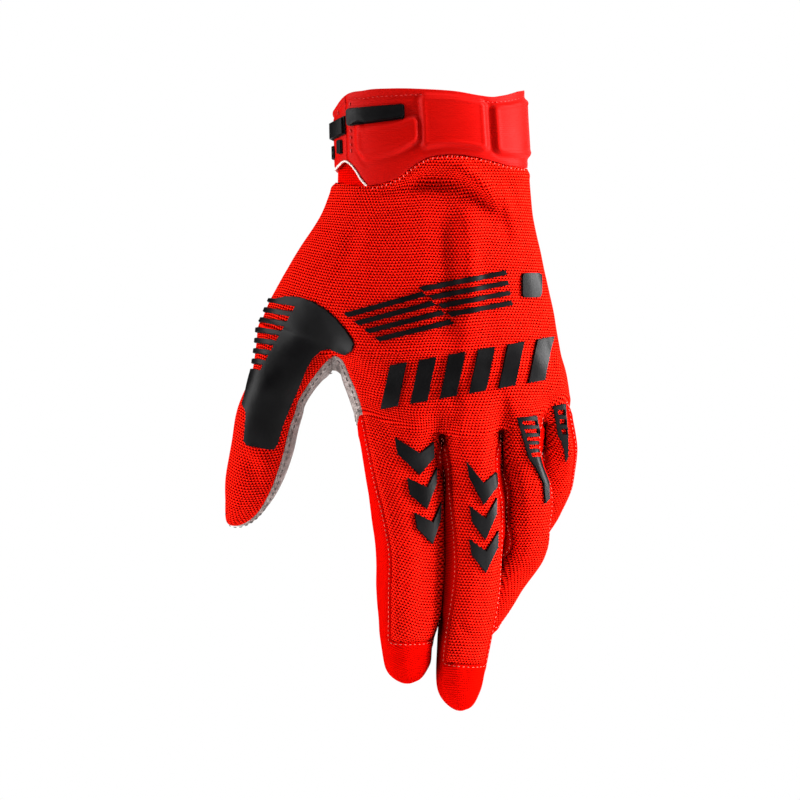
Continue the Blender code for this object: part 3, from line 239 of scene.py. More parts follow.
# A knuckle guard: its left and right ends at the top, at the waist and at the tip, and the number of its
# slots
Guard = namedtuple(
    "Guard", "finger top_left top_right top waist_left waist_right waist tip_left tip_right tip slots"
)
GUARDS = (
    Guard("ring", 0.404, 0.495, 0.932, 0.457, 0.531, 1.077, 0.533, 0.556, 1.240, 5),
    Guard("little", 0.572, 0.628, 0.890, 0.598, 0.645, 0.995, 0.634, 0.646, 1.090, 3),
)
GUARD_EDGE = (0.020, 0.008)
# The thumb patch: points of its outline from the top round to the foot, in the same shares
PATCH = (
    (-0.720, 0.507), (-0.664, 0.498), (-0.603, 0.502), (-0.542, 0.518), (-0.481, 0.546), (-0.430, 0.582),
    (-0.390, 0.618), (-0.362, 0.650), (-0.351, 0.671), (-0.362, 0.695), (-0.395, 0.708), (-0.430, 0.699),
    (-0.472, 0.686), (-0.509, 0.693), (-0.549, 0.720), (-0.579, 0.761), (-0.614, 0.825), (-0.650, 0.886),
    (-0.687, 0.957), (-0.713, 1.025), (-0.729, 1.045), (-0.757, 1.046), (-0.853, 1.032), (-0.869, 1.016),
    (-0.857, 0.914), (-0.874, 0.884),
)
# The patch's stripes towards the thumb's outer side: the first one's right end, the step to the next, and the
# far end, thickness and fall of each
PATCH_STRIPE_COUNT = 7
PATCH_STRIPE = (-0.628, 0.534)
PATCH_STRIPE_STEP = (-0.025, 0.0352)
PATCH_STRIPE_TALL = 0.0180
PATCH_STRIPE_FALL = 0.11
PATCH_SIDE = -0.832
# Rubber strips of the closure: shares across the cuff, below 0 on the palm side, and drops from the cuff's
# mouth as shares of CUFF_HEIGHT
STRAP_LEFT, STRAP_RIGHT = 0.076, 0.372
STRAP_TOPS, STRAP_BOTTOMS = (0.274, 0.208), (0.547, 0.440)
STRAP_CORNER = 0.0012
TAB_SHARES = (0.064, 0.0, -0.070, -0.30)
TAB_TOPS = (0.385, 0.480, 0.530, 0.550)
TAB_BOTTOMS = (0.660, 0.750, 0.800, 0.820)
SLOT_BARS = ((0.023, 0.046, 0.745, 0.965), (-0.030, 0.008, 0.830, 1.050))


def ease(t):
    """A smooth step from 0 to 1."""
    return t * t * (3 - 2 * t)


def bell(distance, width):
    return np.exp(-((distance / width) ** 2))


def unit(vectors):
    """The vectors at length 1."""
    return vectors / np.maximum(np.linalg.norm(vectors, axis=-1, keepdims=True), 1e-12)


def way_along(points):
    """How far along a line each of its points lies."""
    return np.concatenate([[0.0], np.cumsum(np.linalg.norm(np.diff(points, axis=0), axis=1))])


def tree_of(points, numbers=None):
    """A search tree of the points, which gives their numbers."""
    tree = KDTree(len(points))
    for i, point in zip(range(len(points)) if numbers is None else numbers, points):
        tree.insert(point, int(i))
    tree.balance()
    return tree


def smooth_curve(stations, values, at):
    """A smooth curve through the values at the stations, read at the given places."""
    stations = np.asarray(stations, float)
    values = np.asarray(values, float)
    at = np.clip(np.asarray(at, float), stations[0], stations[-1])
    slopes = np.gradient(values, stations, axis=0)
    i = np.clip(np.searchsorted(stations, at, side="right") - 1, 0, len(stations) - 2)
    span = stations[i + 1] - stations[i]
    t = (at - stations[i]) / span
    if values.ndim > 1:
        span, t = span[..., None], t[..., None]
    return (
        (1 + 2 * t) * (1 - t) ** 2 * values[i]
        + t * (1 - t) ** 2 * span * slopes[i]
        + t * t * (3 - 2 * t) * values[i + 1]
        - t * t * (1 - t) * span * slopes[i + 1]
    )


def bulge(share, roundness):
    """Half the thickness of a section at a share of its width, 1 in the middle and 0 at its sides."""
    return (1 - np.abs(2 * share - 1) ** roundness) ** (1 / roundness)


def through_three(values, share):
    left, middle, right = values
    sides = left * (1 - share) * (1 - 2 * share) + right * share * (2 * share - 1)
    return sides + 4 * middle * share * (1 - share)


Ring = namedtuple("Ring", "front right back left")


def around(ring):
    """A ring's edges, each with the side that it is on."""
    for j in range(len(ring.front) - 1):
        yield ring.front[j], ring.front[j + 1], "front"
        yield ring.back[j + 1], ring.back[j], "back"
    yield ring.front[-1], ring.right, "right"
    yield ring.right, ring.back[-1], "right"
    yield ring.left, ring.front[0], "left"
    yield ring.back[0], ring.left, "left"


class Skin:
    """The points of the glove's skin, and its faces, each with the part, side and row that it is in."""

    def __init__(self):
        self.points, self.faces, self.places = [], [], []
        self.rings, self.tips = {}, {}

    def add(self, point):
        self.points.append(np.asarray(point, float))
        return len(self.points) - 1

    def face(self, corners, part, side, row):
        self.faces.append(corners)
        self.places.append((part, side, row))

    def band(self, upper, lower, part, row):
        """The faces between two rings."""
        self.rings.setdefault(part, [upper]).append(lower)
        for (a, b, side), (c, d, _) in zip(around(upper), around(lower)):
            self.face((a, c, d, b), part, side, row)

    def cap(self, ring, tip, part, row):
        """The faces from a digit's last ring to its tip."""
        self.tips[part] = tip
        for a, b, side in around(ring):
            self.face((a, tip, b), part, side, row)


def edge_drop(share):
    """How far the seam below the cuff lies under its middle, as a share of HAND_LENGTH."""
    return float(smooth_curve(EDGE_SHARES, EDGE_DROPS, share))


def section_at(sections, along):
    """The section at a share of the hand's length, smooth between the rows of the table."""
    return Section(*smooth_curve([s.along for s in sections], np.array(sections), along))


def section_point(section, share, side, pinches):
    """A point of a section: side is -1 on the back of the hand, 1 on the palm and 0 at the very side."""
    width = CUFF_WIDTH + (HAND_WIDTH - CUFF_WIDTH) * section.along
    depth = CUFF_DEPTH + (HAND_DEPTH - CUFF_DEPTH) * section.along
    drop, top = (float(smooth_curve(DROP_PLACES, row[1:6], share)) for row in (section, BODY_SECTIONS[0]))
    drop += max(0.0, 1 - section.along / EDGE_REACH) ** 2 * (edge_drop(share) - top)
    thickness = float(bulge(share, BODY_ROUNDNESS))
    for place, amount, reach in pinches:
        thickness *= 1 - amount * math.exp(-(((share - place) / reach) ** 2))
    centre = through_three((section.set0, section.set1, section.set2), share) * HAND_DEPTH
    reach = {-1: -section.front, 0: 0.0, 1: section.back}[side] * depth * thickness
    fall = (0.5 + 0.5 * side) * section.fall
    return (
        (section.left + (section.right - section.left) * share) * width,
        centre + reach,
        -CUFF_HEIGHT - (drop + fall) * HAND_LENGTH,
    )


def column_shares(ends):
    """The shares of the width at the columns' edges, between the seams at the two sides."""
    bounds = (0.0, *ends, 1.0)
    counts = [THUMB_COLUMNS] * (len(bounds) == 6) + [FINGER_COLUMNS] * len(FINGERS)
    shares = [0.0]
    for low, high, count in zip(bounds, bounds[1:], counts):
        shares += [low + (high - low) * (k + 1) / count for k in range(count)]
    return BODY_INSET + (1 - 2 * BODY_INSET) * np.array(shares)


def section_ring(skin, section, ends, pinches):
    """A ring around a section, with its columns between the digits' ends."""
    shares = column_shares(ends)
    front = [skin.add(section_point(section, s, -1, pinches)) for s in shares]
    right = skin.add(section_point(section, 1.0, 0, ()))
    back = [skin.add(section_point(section, s, 1, pinches)) for s in shares]
    return Ring(front, right, back, skin.add(section_point(section, 0.0, 0, ())))


def body_ring(skin, along):
    """A ring around hand and thumb together."""
    t = along / BODY_SECTIONS[-1].along
    ends = tuple(np.array(ENDS_AT_SEAM) * (1 - t) + np.array(ENDS_AT_CROTCH) * t)
    growth = max(0.0, (t - 0.7) / 0.3) ** 2
    pinches = [(ends[0], CROTCH_PINCH * growth, CROTCH_REACH)]
    return section_ring(skin, section_at(BODY_SECTIONS, along), ends, pinches)


def hand_ring(skin, along):
    """A ring around the four fingers' part of the hand."""
    growth = max(0.0, (along - 0.8) / 0.2) ** 2
    pinches = [(end, WEB_PINCH * growth, WEB_REACH) for end in ENDS_OF_FINGERS]
    return section_ring(skin, section_at(HAND_SECTIONS, along), ENDS_OF_FINGERS, pinches)


def web_point(skin, front, back):
    """The middle of a web, between its points on the two sides of the hand."""
    return skin.add(0.5 * (skin.points[front] + skin.points[back]))


def digit_rings(skin, name, root):
    """The rings of a digit from its root on, and its tip."""
    digit = DIGITS[name]
    joints = np.array(digit.joints)
    way = way_along(joints[:, :3])
    rows = smooth_curve(way, joints, np.array(DIGIT_ROWS) * way[-1])
    start = np.mean([skin.points[i] for i in (*root.front, root.right, *root.back, root.left)], axis=0)
    fall = skin.points[root.back[0]][2] - skin.points[root.front[0]][2]
    centres = start + np.stack([rows[:, 1], rows[:, 2], -rows[:, 0]], axis=1) * digit.length
    tangents = unit(np.gradient(np.vstack([start, centres]), axis=0)[1:])
    shares = DIGIT_INSET + (1 - 2 * DIGIT_INSET) * np.linspace(0, 1, len(root.front))
    rings = []
    for k, (centre, tangent, row) in enumerate(zip(centres, tangents, rows)):
        across = unit(np.array([1.0, 0.0, 0.0]) - tangent * tangent[0])
        away = np.cross(across, tangent)
        turn = math.radians(row[5])
        turned = across * math.cos(turn) + away * math.sin(turn)
        away = away * math.cos(turn) - across * math.sin(turn)
        width, depth = row[3] * digit.width, row[4] * digit.depth
        lean = ROOT_LEAN[k] * fall if k < len(ROOT_LEAN) else 0.0

        def place(share, side):
            point = centre + turned * (share - 0.5) * width
            point = point + away * (side * 0.5 * depth * float(bulge(share, BODY_ROUNDNESS)))
            point[2] += lean * 0.5 * (1 + side)
            return skin.add(point)

        front = [place(s, -1) for s in shares]
        right = place(1.0, 0)
        back = [place(s, 1) for s in shares]
        rings.append(Ring(front, right, back, place(0.0, 0)))
    tip = start + np.array([joints[-1, 1], joints[-1, 2], -joints[-1, 0]]) * digit.length
    return rings, skin.add(tip)


def build_digit(skin, name, root):
    rings, tip = digit_rings(skin, name, root)
    for row, (upper, lower) in enumerate(zip([root, *rings], rings)):
        skin.band(upper, lower, name, row)
    skin.cap(rings[-1], tip, name, len(rings))


def build_skin():
    """The whole skin from the cuff's seam down: hand and thumb, then thumb, then hand, then fingers."""
    skin = Skin()
    rings = [body_ring(skin, along) for along in BODY_ROWS]
    for row, (upper, lower) in enumerate(zip(rings, rings[1:])):
        skin.band(upper, lower, "body", row)
    whole = rings[-1]
    crotch = web_point(skin, whole.front[THUMB_COLUMNS], whole.back[THUMB_COLUMNS])
    cut = THUMB_COLUMNS + 1
    build_digit(skin, "thumb", Ring(whole.front[:cut], crotch, whole.back[:cut], whole.left))
    hand = Ring(whole.front[THUMB_COLUMNS:], whole.right, whole.back[THUMB_COLUMNS:], crotch)
    for row, along in enumerate(HAND_ROWS[1:]):
        lower = hand_ring(skin, along)
        skin.band(hand, lower, "hand", row)
        hand = lower
    webs = [hand.left]
    for k in range(1, len(FINGERS)):
        column = k * FINGER_COLUMNS
        webs.append(web_point(skin, hand.front[column], hand.back[column]))
    webs.append(hand.right)
    for k, name in enumerate(FINGERS):
        first, last = k * FINGER_COLUMNS, (k + 1) * FINGER_COLUMNS + 1
        root = Ring(hand.front[first:last], webs[k + 1], hand.back[first:last], webs[k])
        build_digit(skin, name, root)
    return skin


def triangles_of(faces):
    """Each face's corners as triangles, with the number of the face that each came from."""
    triangles, owners = [], []
    for number, corners in enumerate(faces):
        for k in range(1, len(corners) - 1):
            triangles.append((corners[0], corners[k], corners[k + 1]))
            owners.append(number)
    return np.array(triangles), np.array(owners)


def point_normals(points, triangles):
    a, b, c = (points[triangles[:, k]] for k in range(3))
    facing = np.cross(b - a, c - a)
    normals = np.zeros_like(points)
    for k in range(3):
        np.add.at(normals, triangles[:, k], facing)
    return unit(normals)


def flat_view(points):
    """Where points lie in the front view: metres across and below the cuff's seam."""
    return np.stack([points[:, 0], -CUFF_HEIGHT - points[:, 2]], axis=1)


def pressing(flat, normals, line, width, margin, power):
    """How strongly a fold along a line presses each point: less at its ends and where the cloth turns."""
    away = np.linalg.norm(flat[:, None] - line[None], axis=2)
    t = away.argmin(axis=1) / (len(line) - 1)
    fade = np.sin(math.pi * np.clip(t, margin, 1 - margin)) ** power
    return bell(away.min(axis=1), width) * fade * np.clip(-normals[:, 1] * 2, 0, 1)


def fold_points(points, normals):
    """Presses the folds into the back of the hand."""
    moved, flat = points.copy(), flat_view(points)
    t = np.linspace(0, 1, 33)[:, None]
    for fold in FOLDS:
        ends = np.array(fold[:6]).reshape(3, 2) * (HAND_WIDTH, HAND_LENGTH)
        line = (1 - t) ** 2 * ends[0] + 2 * t * (1 - t) * ends[1] + t * t * ends[2]
        push = pressing(flat, normals, line, fold.width * HAND_DEPTH, 0.04, 0.5)
        moved -= normals * (push * fold.depth * HAND_DEPTH)[:, None]
    return moved


def clip(polygon, corner, direction):
    """The part of a polygon on the left of the line through a corner; a point is (chart x, chart y, ...)."""
    kept = []
    side = [(p[0] - corner[0]) * -direction[1] + (p[1] - corner[1]) * direction[0] for p in polygon]
    for k, point in enumerate(polygon):
        following = (k + 1) % len(polygon)
        if side[k] >= 0:
            kept.append(point)
        if side[k] * side[following] < 0:
            t = side[k] / (side[k] - side[following])
            kept.append(point + t * (polygon[following] - point))
    return kept


def joined_points(points):
    """For each point the first one that lies at the same place."""
    tree = tree_of(points)
    same = [-1] * len(points)
    for i, point in enumerate(points):
        if same[i] < 0:
            for _, other, _ in tree.find_range(point, SAME_PLACE):
                if same[other] < 0:
                    same[other] = i
    return same


def panel_of(place):
    """The panel that a face of the skin belongs to."""
    part, side, row = place
    if part == "body":
        return "palm" if side == "back" else "back_panel"
    if part == "hand":
        return "back_panel" if side in ("front", "right") else "palm"
    if part == "thumb":
        return "back_panel" if side in ("front", "left") else "thumb_palm"
    if side == "front" and row < DIGITS[part].seam_row:
        return "back_panel"
    return "palm" if side == "back" else part + "_sidewall"


def rounded(outline, radius, steps=3):
    """An outline with each corner cut by a short arc."""
    made = []
    points = [np.array(p, float) for p in outline]
    for k, corner in enumerate(points):
        before, after = points[k - 1], points[(k + 1) % len(points)]
        back = (before - corner) / np.linalg.norm(before - corner)
        ahead = (after - corner) / np.linalg.norm(after - corner)
        reach = min(radius, 0.4 * np.linalg.norm(before - corner), 0.4 * np.linalg.norm(after - corner))
        start, end = corner + back * reach, corner + ahead * reach
        for t in np.linspace(0, 1, steps):
            made.append(tuple((1 - t) ** 2 * start + 2 * t * (1 - t) * corner + t * t * end))
    return made


def box_outline(left, right, top, bottom):
    """A four-cornered outline; top and bottom are one value each, or one at the left and one at the right."""
    (top_left, top_right), (low_left, low_right) = np.broadcast_to(top, 2), np.broadcast_to(bottom, 2)
    return [(left, top_left), (left, low_left), (right, low_right), (right, top_right)]


def in_front_view(x, drop):
    """A place in the front view, in metres, from its shares of the hand."""
    return x * HAND_WIDTH, -CUFF_HEIGHT - drop * HAND_LENGTH


def stripe(group, k):
    """A skewed bar of the back's stripes."""
    x0, drop0 = group.x0 + group.step_x0 * k, group.drop0 + group.step_drop0 * k
    x1, drop1 = group.x1 + group.step_x1 * k, group.drop1 + group.step_drop1 * k
    low_left, low_right = (x0 + group.slant0, drop0 + group.tall), (x1 + group.slant1, drop1 + group.tall)
    return [(x0, drop0), low_left, low_right, (x1, drop1)]


def block(number):
    """A slanted block of the row across the knuckles."""
    t = number / (BLOCK_COUNT - 1)
    x = BLOCK_FIRST[0] + (BLOCK_LAST[0] - BLOCK_FIRST[0]) * t
    drop = BLOCK_FIRST[1] + (BLOCK_LAST[1] - BLOCK_FIRST[1]) * t
    half, tall, slant = BLOCK_SIZE[0] / 2, BLOCK_SIZE[1] / 2, BLOCK_SLANT / 2
    rise = half * (BLOCK_FIRST[1] - BLOCK_LAST[1]) / (BLOCK_LAST[0] - BLOCK_FIRST[0])
    return [
        (x - half + slant, drop - tall + rise), (x - half - slant, drop + tall + rise),
        (x + half - slant, drop + tall - rise), (x + half + slant, drop - tall - rise),
    ]


def chevron(c):
    """A chevron that points down the finger."""
    left, right = (c.x - c.left, c.drop - c.left_rise), (c.x + c.right, c.drop - c.right_rise)
    return [
        left, (left[0] + 0.012, left[1] + CHEVRON_ARM), (c.x, c.drop + CHEVRON_TIP),
        (right[0], right[1] + CHEVRON_ARM), right, (c.x, c.drop),
    ]


def guard(g):
    """A knuckle guard's outline, and its slots."""
    fall = g.tip - g.waist
    outline = [
        (g.top_left, g.top), (g.waist_left, g.waist),
        (0.6 * g.waist_left + 0.4 * g.tip_left, g.waist + 0.2 * fall),
        (g.tip_left - 0.008, g.waist + 0.55 * fall), (g.tip_left, g.tip), (g.tip_right, g.tip - 0.02),
        (0.3 * g.waist_right + 0.7 * g.tip_right, g.waist + 0.35 * fall), (g.waist_right, g.waist),
        (g.top_right, g.top - 0.008),
    ]
    holes = []
    for k in range(g.slots):
        shares = [(k + 0.40) / (g.slots + 0.1), (k + 0.90) / (g.slots + 0.1)]
        drops = [g.top + (g.waist - g.top) * t for t in shares]
        lefts = [g.top_left + (g.waist_left - g.top_left) * t + GUARD_EDGE[0] for t in shares]
        rights = [g.top_right + (g.waist_right - g.top_right) * t - GUARD_EDGE[1] for t in shares]
        holes.append([*zip(lefts, drops), *reversed([*zip(rights, drops)])])
    return outline, holes


def patch_outline():
    """The thumb's patch: a rounded body with a comb of stripes towards the thumb's outer side."""
    outline = list(PATCH)
    for k in reversed(range(PATCH_STRIPE_COUNT)):
        x = PATCH_STRIPE[0] + PATCH_STRIPE_STEP[0] * k
        drop = PATCH_STRIPE[1] + PATCH_STRIPE_STEP[1] * k
        far = drop - (x - PATCH_SIDE) * PATCH_STRIPE_FALL
        outline += [
            (PATCH_SIDE, far + PATCH_STRIPE_TALL), (x - 0.012, drop + PATCH_STRIPE_TALL),
            (x, drop), (PATCH_SIDE, far),
        ]
    outline.append((PATCH_SIDE, PATCH[0][1] - 0.006))
    return outline


# The looks that the CAD doesn't hold: lengths in metres

SUBDIVISIONS = 3
FITTING_PASSES = 3
PARENTS = {"thumb": "body", "hand": "body", **{name: "hand" for name in FINGERS}}
PANELS = ("back_panel", "palm", "thumb_palm", *(name + "_sidewall" for name in FINGERS))
# Finish, wall and slot of the panels that aren't stretch strips
PANEL_CLOTHS = {
    "back_panel": ("knit", KNIT_WALL, "knit"),
    "palm": ("suede", SUEDE_WALL, "suede"),
    "thumb_palm": ("suede", SUEDE_WALL, "suede"),
}
# Seams: how deep and wide they draw the cloth in, and the welt beside them
SEAM_DEPTH, SEAM_WIDTH = 0.0006, 0.0011
EDGE_LIFT = 0.00025
# Prints: the slope round them, its foot as a share of their height, and how deep they reach into the cloth
PRINT_BEVEL, PRINT_FOOT, PRINT_SUNK = 0.00022, 0.35, 0.0002
# Slits between the fingers: the gap below which they start to close and are shut, the share of the gap that
# each finger then takes up, and the level below the cuff's mouth where they part, with the way over which
# they do
SLIT_CLOSED, SLIT_SHUT, SLIT_SHARE = 0.0046, 0.0031, 0.49
SLIT_OPENS, SLIT_FADE = 0.2080, 0.006
# The painted shade in the slits, a near-black colour in the cloth between the fingers: the gap where it ends,
# and its top level
PAINTED_SHADE_GAP, PAINTED_SHADE_TOP = 0.0080, 0.1290
# Unevenness of cloth: height, and how often it comes in a metre
SLACK_WAVES = ((0.00026, 70), (0.00014, (190, 190, 120)))
CUFF_WAVE = (0.00012, 90)
GUSSET_WAVE = (0.0003, 160)
# The cuff's sheets: steps around and down, the pads' corners, welt and moat, the hem and the lower edge
CUFF_STEPS, CUFF_DEEP = 190, 72
PAD_CORNER = 0.0022
PAD_WELT, PAD_MOAT = 0.22, 0.16
HEM, HEM_RISE, HEM_GROOVE = 0.0022, 0.00025, 0.0003
EDGE_DRAWN, EDGE_WIDTH = 0.0004, 0.0012
# The gusset: how far it lies behind the skin in the notch, its bottom and top as shares of its height, the
# height where it starts to tuck behind the cuff and the way over which it does, and its steps across and down
GUSSET_TUCK = 0.0013
GUSSET_BOTTOM, GUSSET_TOP = -0.20, 1.0
GUSSET_BEND, GUSSET_BEND_WAY = 0.22, 0.30
GUSSET_STEPS = (46, 24)
# Stitches: length, thickness and the way from one to the next; their shape as (share of the length, share
# of the thickness); how far from a seam they run
STITCH = (0.0015, 0.00042, 0.0026)
FINE_STITCH = (0.0009, 0.00025, 0.0019)
STITCH_PROFILE = ((-0.5, 0.25), (-0.36, 0.85), (0.0, 1.0), (0.36, 0.85), (0.5, 0.25))
STRIP_INSET, SUEDE_INSET = 0.0010, 0.0016
# Lines on the cuff's back: shares across and down at the two ends, number of points, height over the cloth
NOTCH_LINE = (0.006, NOTCH_SHARES[-1], 1.0, 1.0, 48, 0.0001)
FLAP_LINES = (
    (FLAP_SEAM + 0.020, FLAP_SEAM + 0.020, 0.06, 0.94, 60, 0.0001),
    (0.030, 0.030, 0.05, 0.30, 30, 0.0002),
)
HEM_LINE, SEAM_LINE = (0.10, 0.985, 0.085, 0.085, 160, 0.0002), (0.175, 0.985, 1.035, 1.035, 160, 0.0002)
# The cuff's threads: name, lines, stitch, finish, slot, and how the stitches slant, in radians
CUFF_THREADS = (
    ("flap_seam_stitches", FLAP_LINES, STITCH, "red_thread", "neoprene", 0.0),
    ("hem_stitches", (HEM_LINE,), FINE_STITCH, "red_thread", "neoprene", 0.0),
    ("cuff_seam_stitches", (SEAM_LINE,), FINE_STITCH, "light_thread", "knit", 1.1),
)
# Radius of the cut edge along the cuff's notch, and how many sides each thread has
NOTCH_EDGE = 0.00042
TUBE_SIDES = 6
# Cloths: pitch of the loops and ribs, and the pairs of colours that their patches vary between
KNIT_PITCH, KNIT_ROW = 0.00125, 0.00110
RIB_ROW, RIB_PITCH = 0.00095, 0.00075
NEOPRENE_RIB = 0.0008
KNIT_REDS = (0.68, 0.0010, 0.0002), (0.92, 0.0022, 0.0006)
# Painted shade in the knit's open cells, and a painted highlight on the crowns of its loops
HOLE_SHADE_RED, CROWN_HIGHLIGHT_RED = (0.035, 0.0002, 0.0001), (1.0, 0.024, 0.010)
STRETCH_REDS = (0.56, 0.0010, 0.0002), (0.72, 0.0024, 0.0006)
# Painted shade in the grooves between the stretch knit's ribs
STRETCH_GROOVE_SHADE = (0.20, 0.0008, 0.0002)
NEOPRENE_REDS = (0.35, 0.0010, 0.0003), (0.45, 0.0018, 0.0004)
SUEDE_STOPS = (0.32, (0.10, 0.075, 0.070)), (0.50, (0.24, 0.195, 0.183)), (0.70, (0.40, 0.345, 0.33))
SUEDE_NAP, SUEDE_LINE = (0.46, 0.40, 0.38), (0.07, 0.05, 0.048)
RUBBER_BLACKS = (0.0012, 0.0011, 0.0013), (0.0032, 0.0030, 0.0034)
THREADS = (
    ("thread", "pale_thread", (0.85, 0.15, 0.10)),
    ("dark_thread", "dark_thread", (0.12, 0.095, 0.09)),
    ("red_thread", "red_thread", (0.62, 0.004, 0.001)),
    ("light_thread", "light_thread", (0.90, 0.090, 0.060)),
    ("cut_edge", "cut_edge", (0.80, 0.66, 0.62)),
)
# Studio: the camera's distance, the size of a pixel and the pixel of the cuff's mouth, the lights' places,
# sizes and watts, and the floor
PHOTO_SIZE = 800
CAMERA_AWAY = 6.0
PIXEL = 0.0003877
MOUTH_PIXEL = (430, 91)
SOFTBOXES = (
    ("left_softbox", (-1.0, -0.20, 0.15), (0.4, 1.1), 19.0),
    ("right_softbox", (1.0, -0.13, 0.20), (0.4, 1.1), 58.0),
    ("top_softbox", (0.05, -0.24, 1.00), (0.6, 0.4), 7.0),
    ("back_softbox", (0.3, 1.10, 0.30), (1.2, 1.0), 4.0),
)
LIGHT_TARGET = (0.0, 0.0, -0.12)
WORLD_FILL = 0.03
FLOOR_DEPTH, FLOOR_RADIUS, FLOOR_GLOW = 0.42, 2.2, 0.75
# Folds of the cloth in the front view, as polylines of (share of HAND_WIDTH from the middle, share of
# HAND_LENGTH below the cuff's seam), with half width and depth; a negative depth is a ridge
CREASE_POINTS = 40
CREASES = (
    (((-0.270, 0.143), (-0.140, 0.118), (0.000, 0.092), (0.093, 0.094), (0.233, 0.154), (0.350, 0.243)),
     0.0034, 0.0026),
    (((0.117, 0.030), (0.200, 0.070), (0.270, 0.130), (0.330, 0.208)), 0.0028, -0.0022),
    (((-0.290, 0.215), (-0.180, 0.150), (-0.060, 0.120), (0.060, 0.118)), 0.0024, -0.0006),
    (((0.178, 0.120), (0.182, 0.300), (0.178, 0.540), (0.165, 0.760)), 0.0042, -0.0013),
    (((0.060, 0.160), (0.085, 0.300), (0.095, 0.520), (0.080, 0.700)), 0.0052, 0.0014),
    (((0.300, 0.110), (0.345, 0.220), (0.370, 0.330)), 0.0020, 0.0006),
    (((0.345, 0.060), (0.390, 0.150), (0.405, 0.250)), 0.0016, 0.0005),
    (((-0.340, 0.240), (-0.370, 0.330), (-0.450, 0.430)), 0.0032, 0.0011),
    (((-0.430, 0.330), (-0.500, 0.400), (-0.560, 0.440)), 0.0024, 0.0004),
    (((0.127, 1.655), (0.160, 1.690), (0.196, 1.720)), 0.0013, 0.0008),
    (((-0.860, 1.040), (-0.800, 1.070), (-0.745, 1.110)), 0.0020, -0.0008),
    (((-0.850, 1.090), (-0.820, 1.130), (-0.805, 1.210)), 0.0026, 0.0009),
    (((-0.230, 0.930), (-0.190, 1.010), (-0.170, 1.120)), 0.0024, 0.0005),
    (((0.110, 0.800), (0.118, 0.900), (0.100, 1.000)), 0.0024, 0.0008),
    (((0.330, 0.820), (0.350, 0.900), (0.360, 0.960)), 0.0020, 0.0006),
)


def lay_chart(skin, points):
    """Where each point lies on the uncut cloth, for the back and the palm: metres across and down."""
    chart = {}
    for part, rings in skin.rings.items():
        for side in ("front", "back"):
            start, down, before = 0.0, None, None
            for ring in rings:
                near, far = (ring.front, ring.back) if side == "front" else (ring.back, ring.front)
                line = [far[0], ring.left, *near, ring.right, far[-1]]
                places = points[line]
                across = way_along(places)
                middle = 2 + len(near) // 2
                if before is not None:
                    down = down + np.linalg.norm(places - before, axis=1)
                elif part == "body":
                    down = -CUFF_HEIGHT - places[:, 2]
                else:
                    known = [chart[(PARENTS[part], side, i)] for i in near]
                    start = known[middle - 2][0]
                    drops = [v for _, v in known]
                    down = np.array([drops[0], drops[0], *drops, drops[-1], drops[-1]])
                across += start - across[middle]
                for i, u, v in zip(line, across, down):
                    chart[(part, side, i)] = (u, v)
                before = places
            if part in skin.tips:
                tip = skin.tips[part]
                length = np.linalg.norm(points[tip] - before.mean(axis=0))
                chart[(part, side, tip)] = (start, float(down.mean() + length))
    return chart


def subdivided(points, skin, chart):
    """The smooth skin: its points, and for each quad the corners, cage face and places on the cloth."""
    mesh = bpy.data.meshes.new("cage")
    mesh.from_pydata([tuple(p) for p in points], [], [tuple(f) for f in skin.faces])
    cage = mesh.attributes.new("cage_face", "INT", "FACE")
    cage.data.foreach_set("value", np.arange(len(skin.faces), dtype=np.int32))
    cloth = mesh.uv_layers.new(name="cloth")
    places = []
    for corners, place in zip(skin.faces, skin.places):
        side = "back" if panel_of(place) in ("palm", "thumb_palm") else "front"
        places += [chart[(place[0], side, i)] for i in corners]
    cloth.data.foreach_set("uv", np.array(places, dtype=np.float32).ravel())
    holder = bpy.data.objects.new("cage", mesh)
    bpy.context.scene.collection.objects.link(holder)
    smoother = holder.modifiers.new("smooth", "SUBSURF")
    smoother.levels = smoother.render_levels = SUBDIVISIONS
    smoother.uv_smooth = "NONE"
    wanted = points.copy()
    for _ in range(FITTING_PASSES):
        points = points + (wanted - evaluated_mesh(holder)[0][:len(points)])
        mesh.vertices.foreach_set("co", points.astype(np.float32).ravel())
        mesh.update()
    fine = evaluated_mesh(holder)
    bpy.data.objects.remove(holder)
    return fine


def read_values(items, key, size=1, kind=np.float32):
    values = np.empty(len(items) * size, kind)
    items.foreach_get(key, values)
    return values


def evaluated_mesh(holder):
    """With modifiers applied: points, quads, each quad's cage face and the corners' places on the cloth."""
    graph = bpy.context.evaluated_depsgraph_get()
    graph.update()
    made = holder.evaluated_get(graph)
    mesh = made.to_mesh()
    points = read_values(mesh.vertices, "co", 3).reshape(-1, 3).astype(float)
    quads = read_values(mesh.loops, "vertex_index", 1, np.int32).reshape(-1, 4)
    owners = read_values(mesh.attributes["cage_face"].data, "value", 1, np.int32)
    places = read_values(mesh.uv_layers["cloth"].data, "uv", 2).reshape(-1, 4, 2).astype(float)
    made.to_mesh_clear()
    return points, quads, owners, places


def polyline(places):
    places = np.array(places, float)
    way = way_along(places)
    return smooth_curve(way, places, np.linspace(0, way[-1], CREASE_POINTS))


def press_creases(points, normals):
    """Presses the smaller folds into the cloth that faces the front."""
    moved, flat = points.copy(), flat_view(points)
    for places, width, depth in CREASES:
        line = polyline(places) * (HAND_WIDTH, HAND_LENGTH)
        low, high = line.min(axis=0) - 3 * width, line.max(axis=0) + 3 * width
        near = np.flatnonzero(((flat > low) & (flat < high)).all(axis=1) & (normals[:, 1] < 0.2))
        push = pressing(flat[near], normals[near], line, width, 0.02, 0.6)
        moved[near] -= normals[near] * (push * depth)[:, None]
    return moved


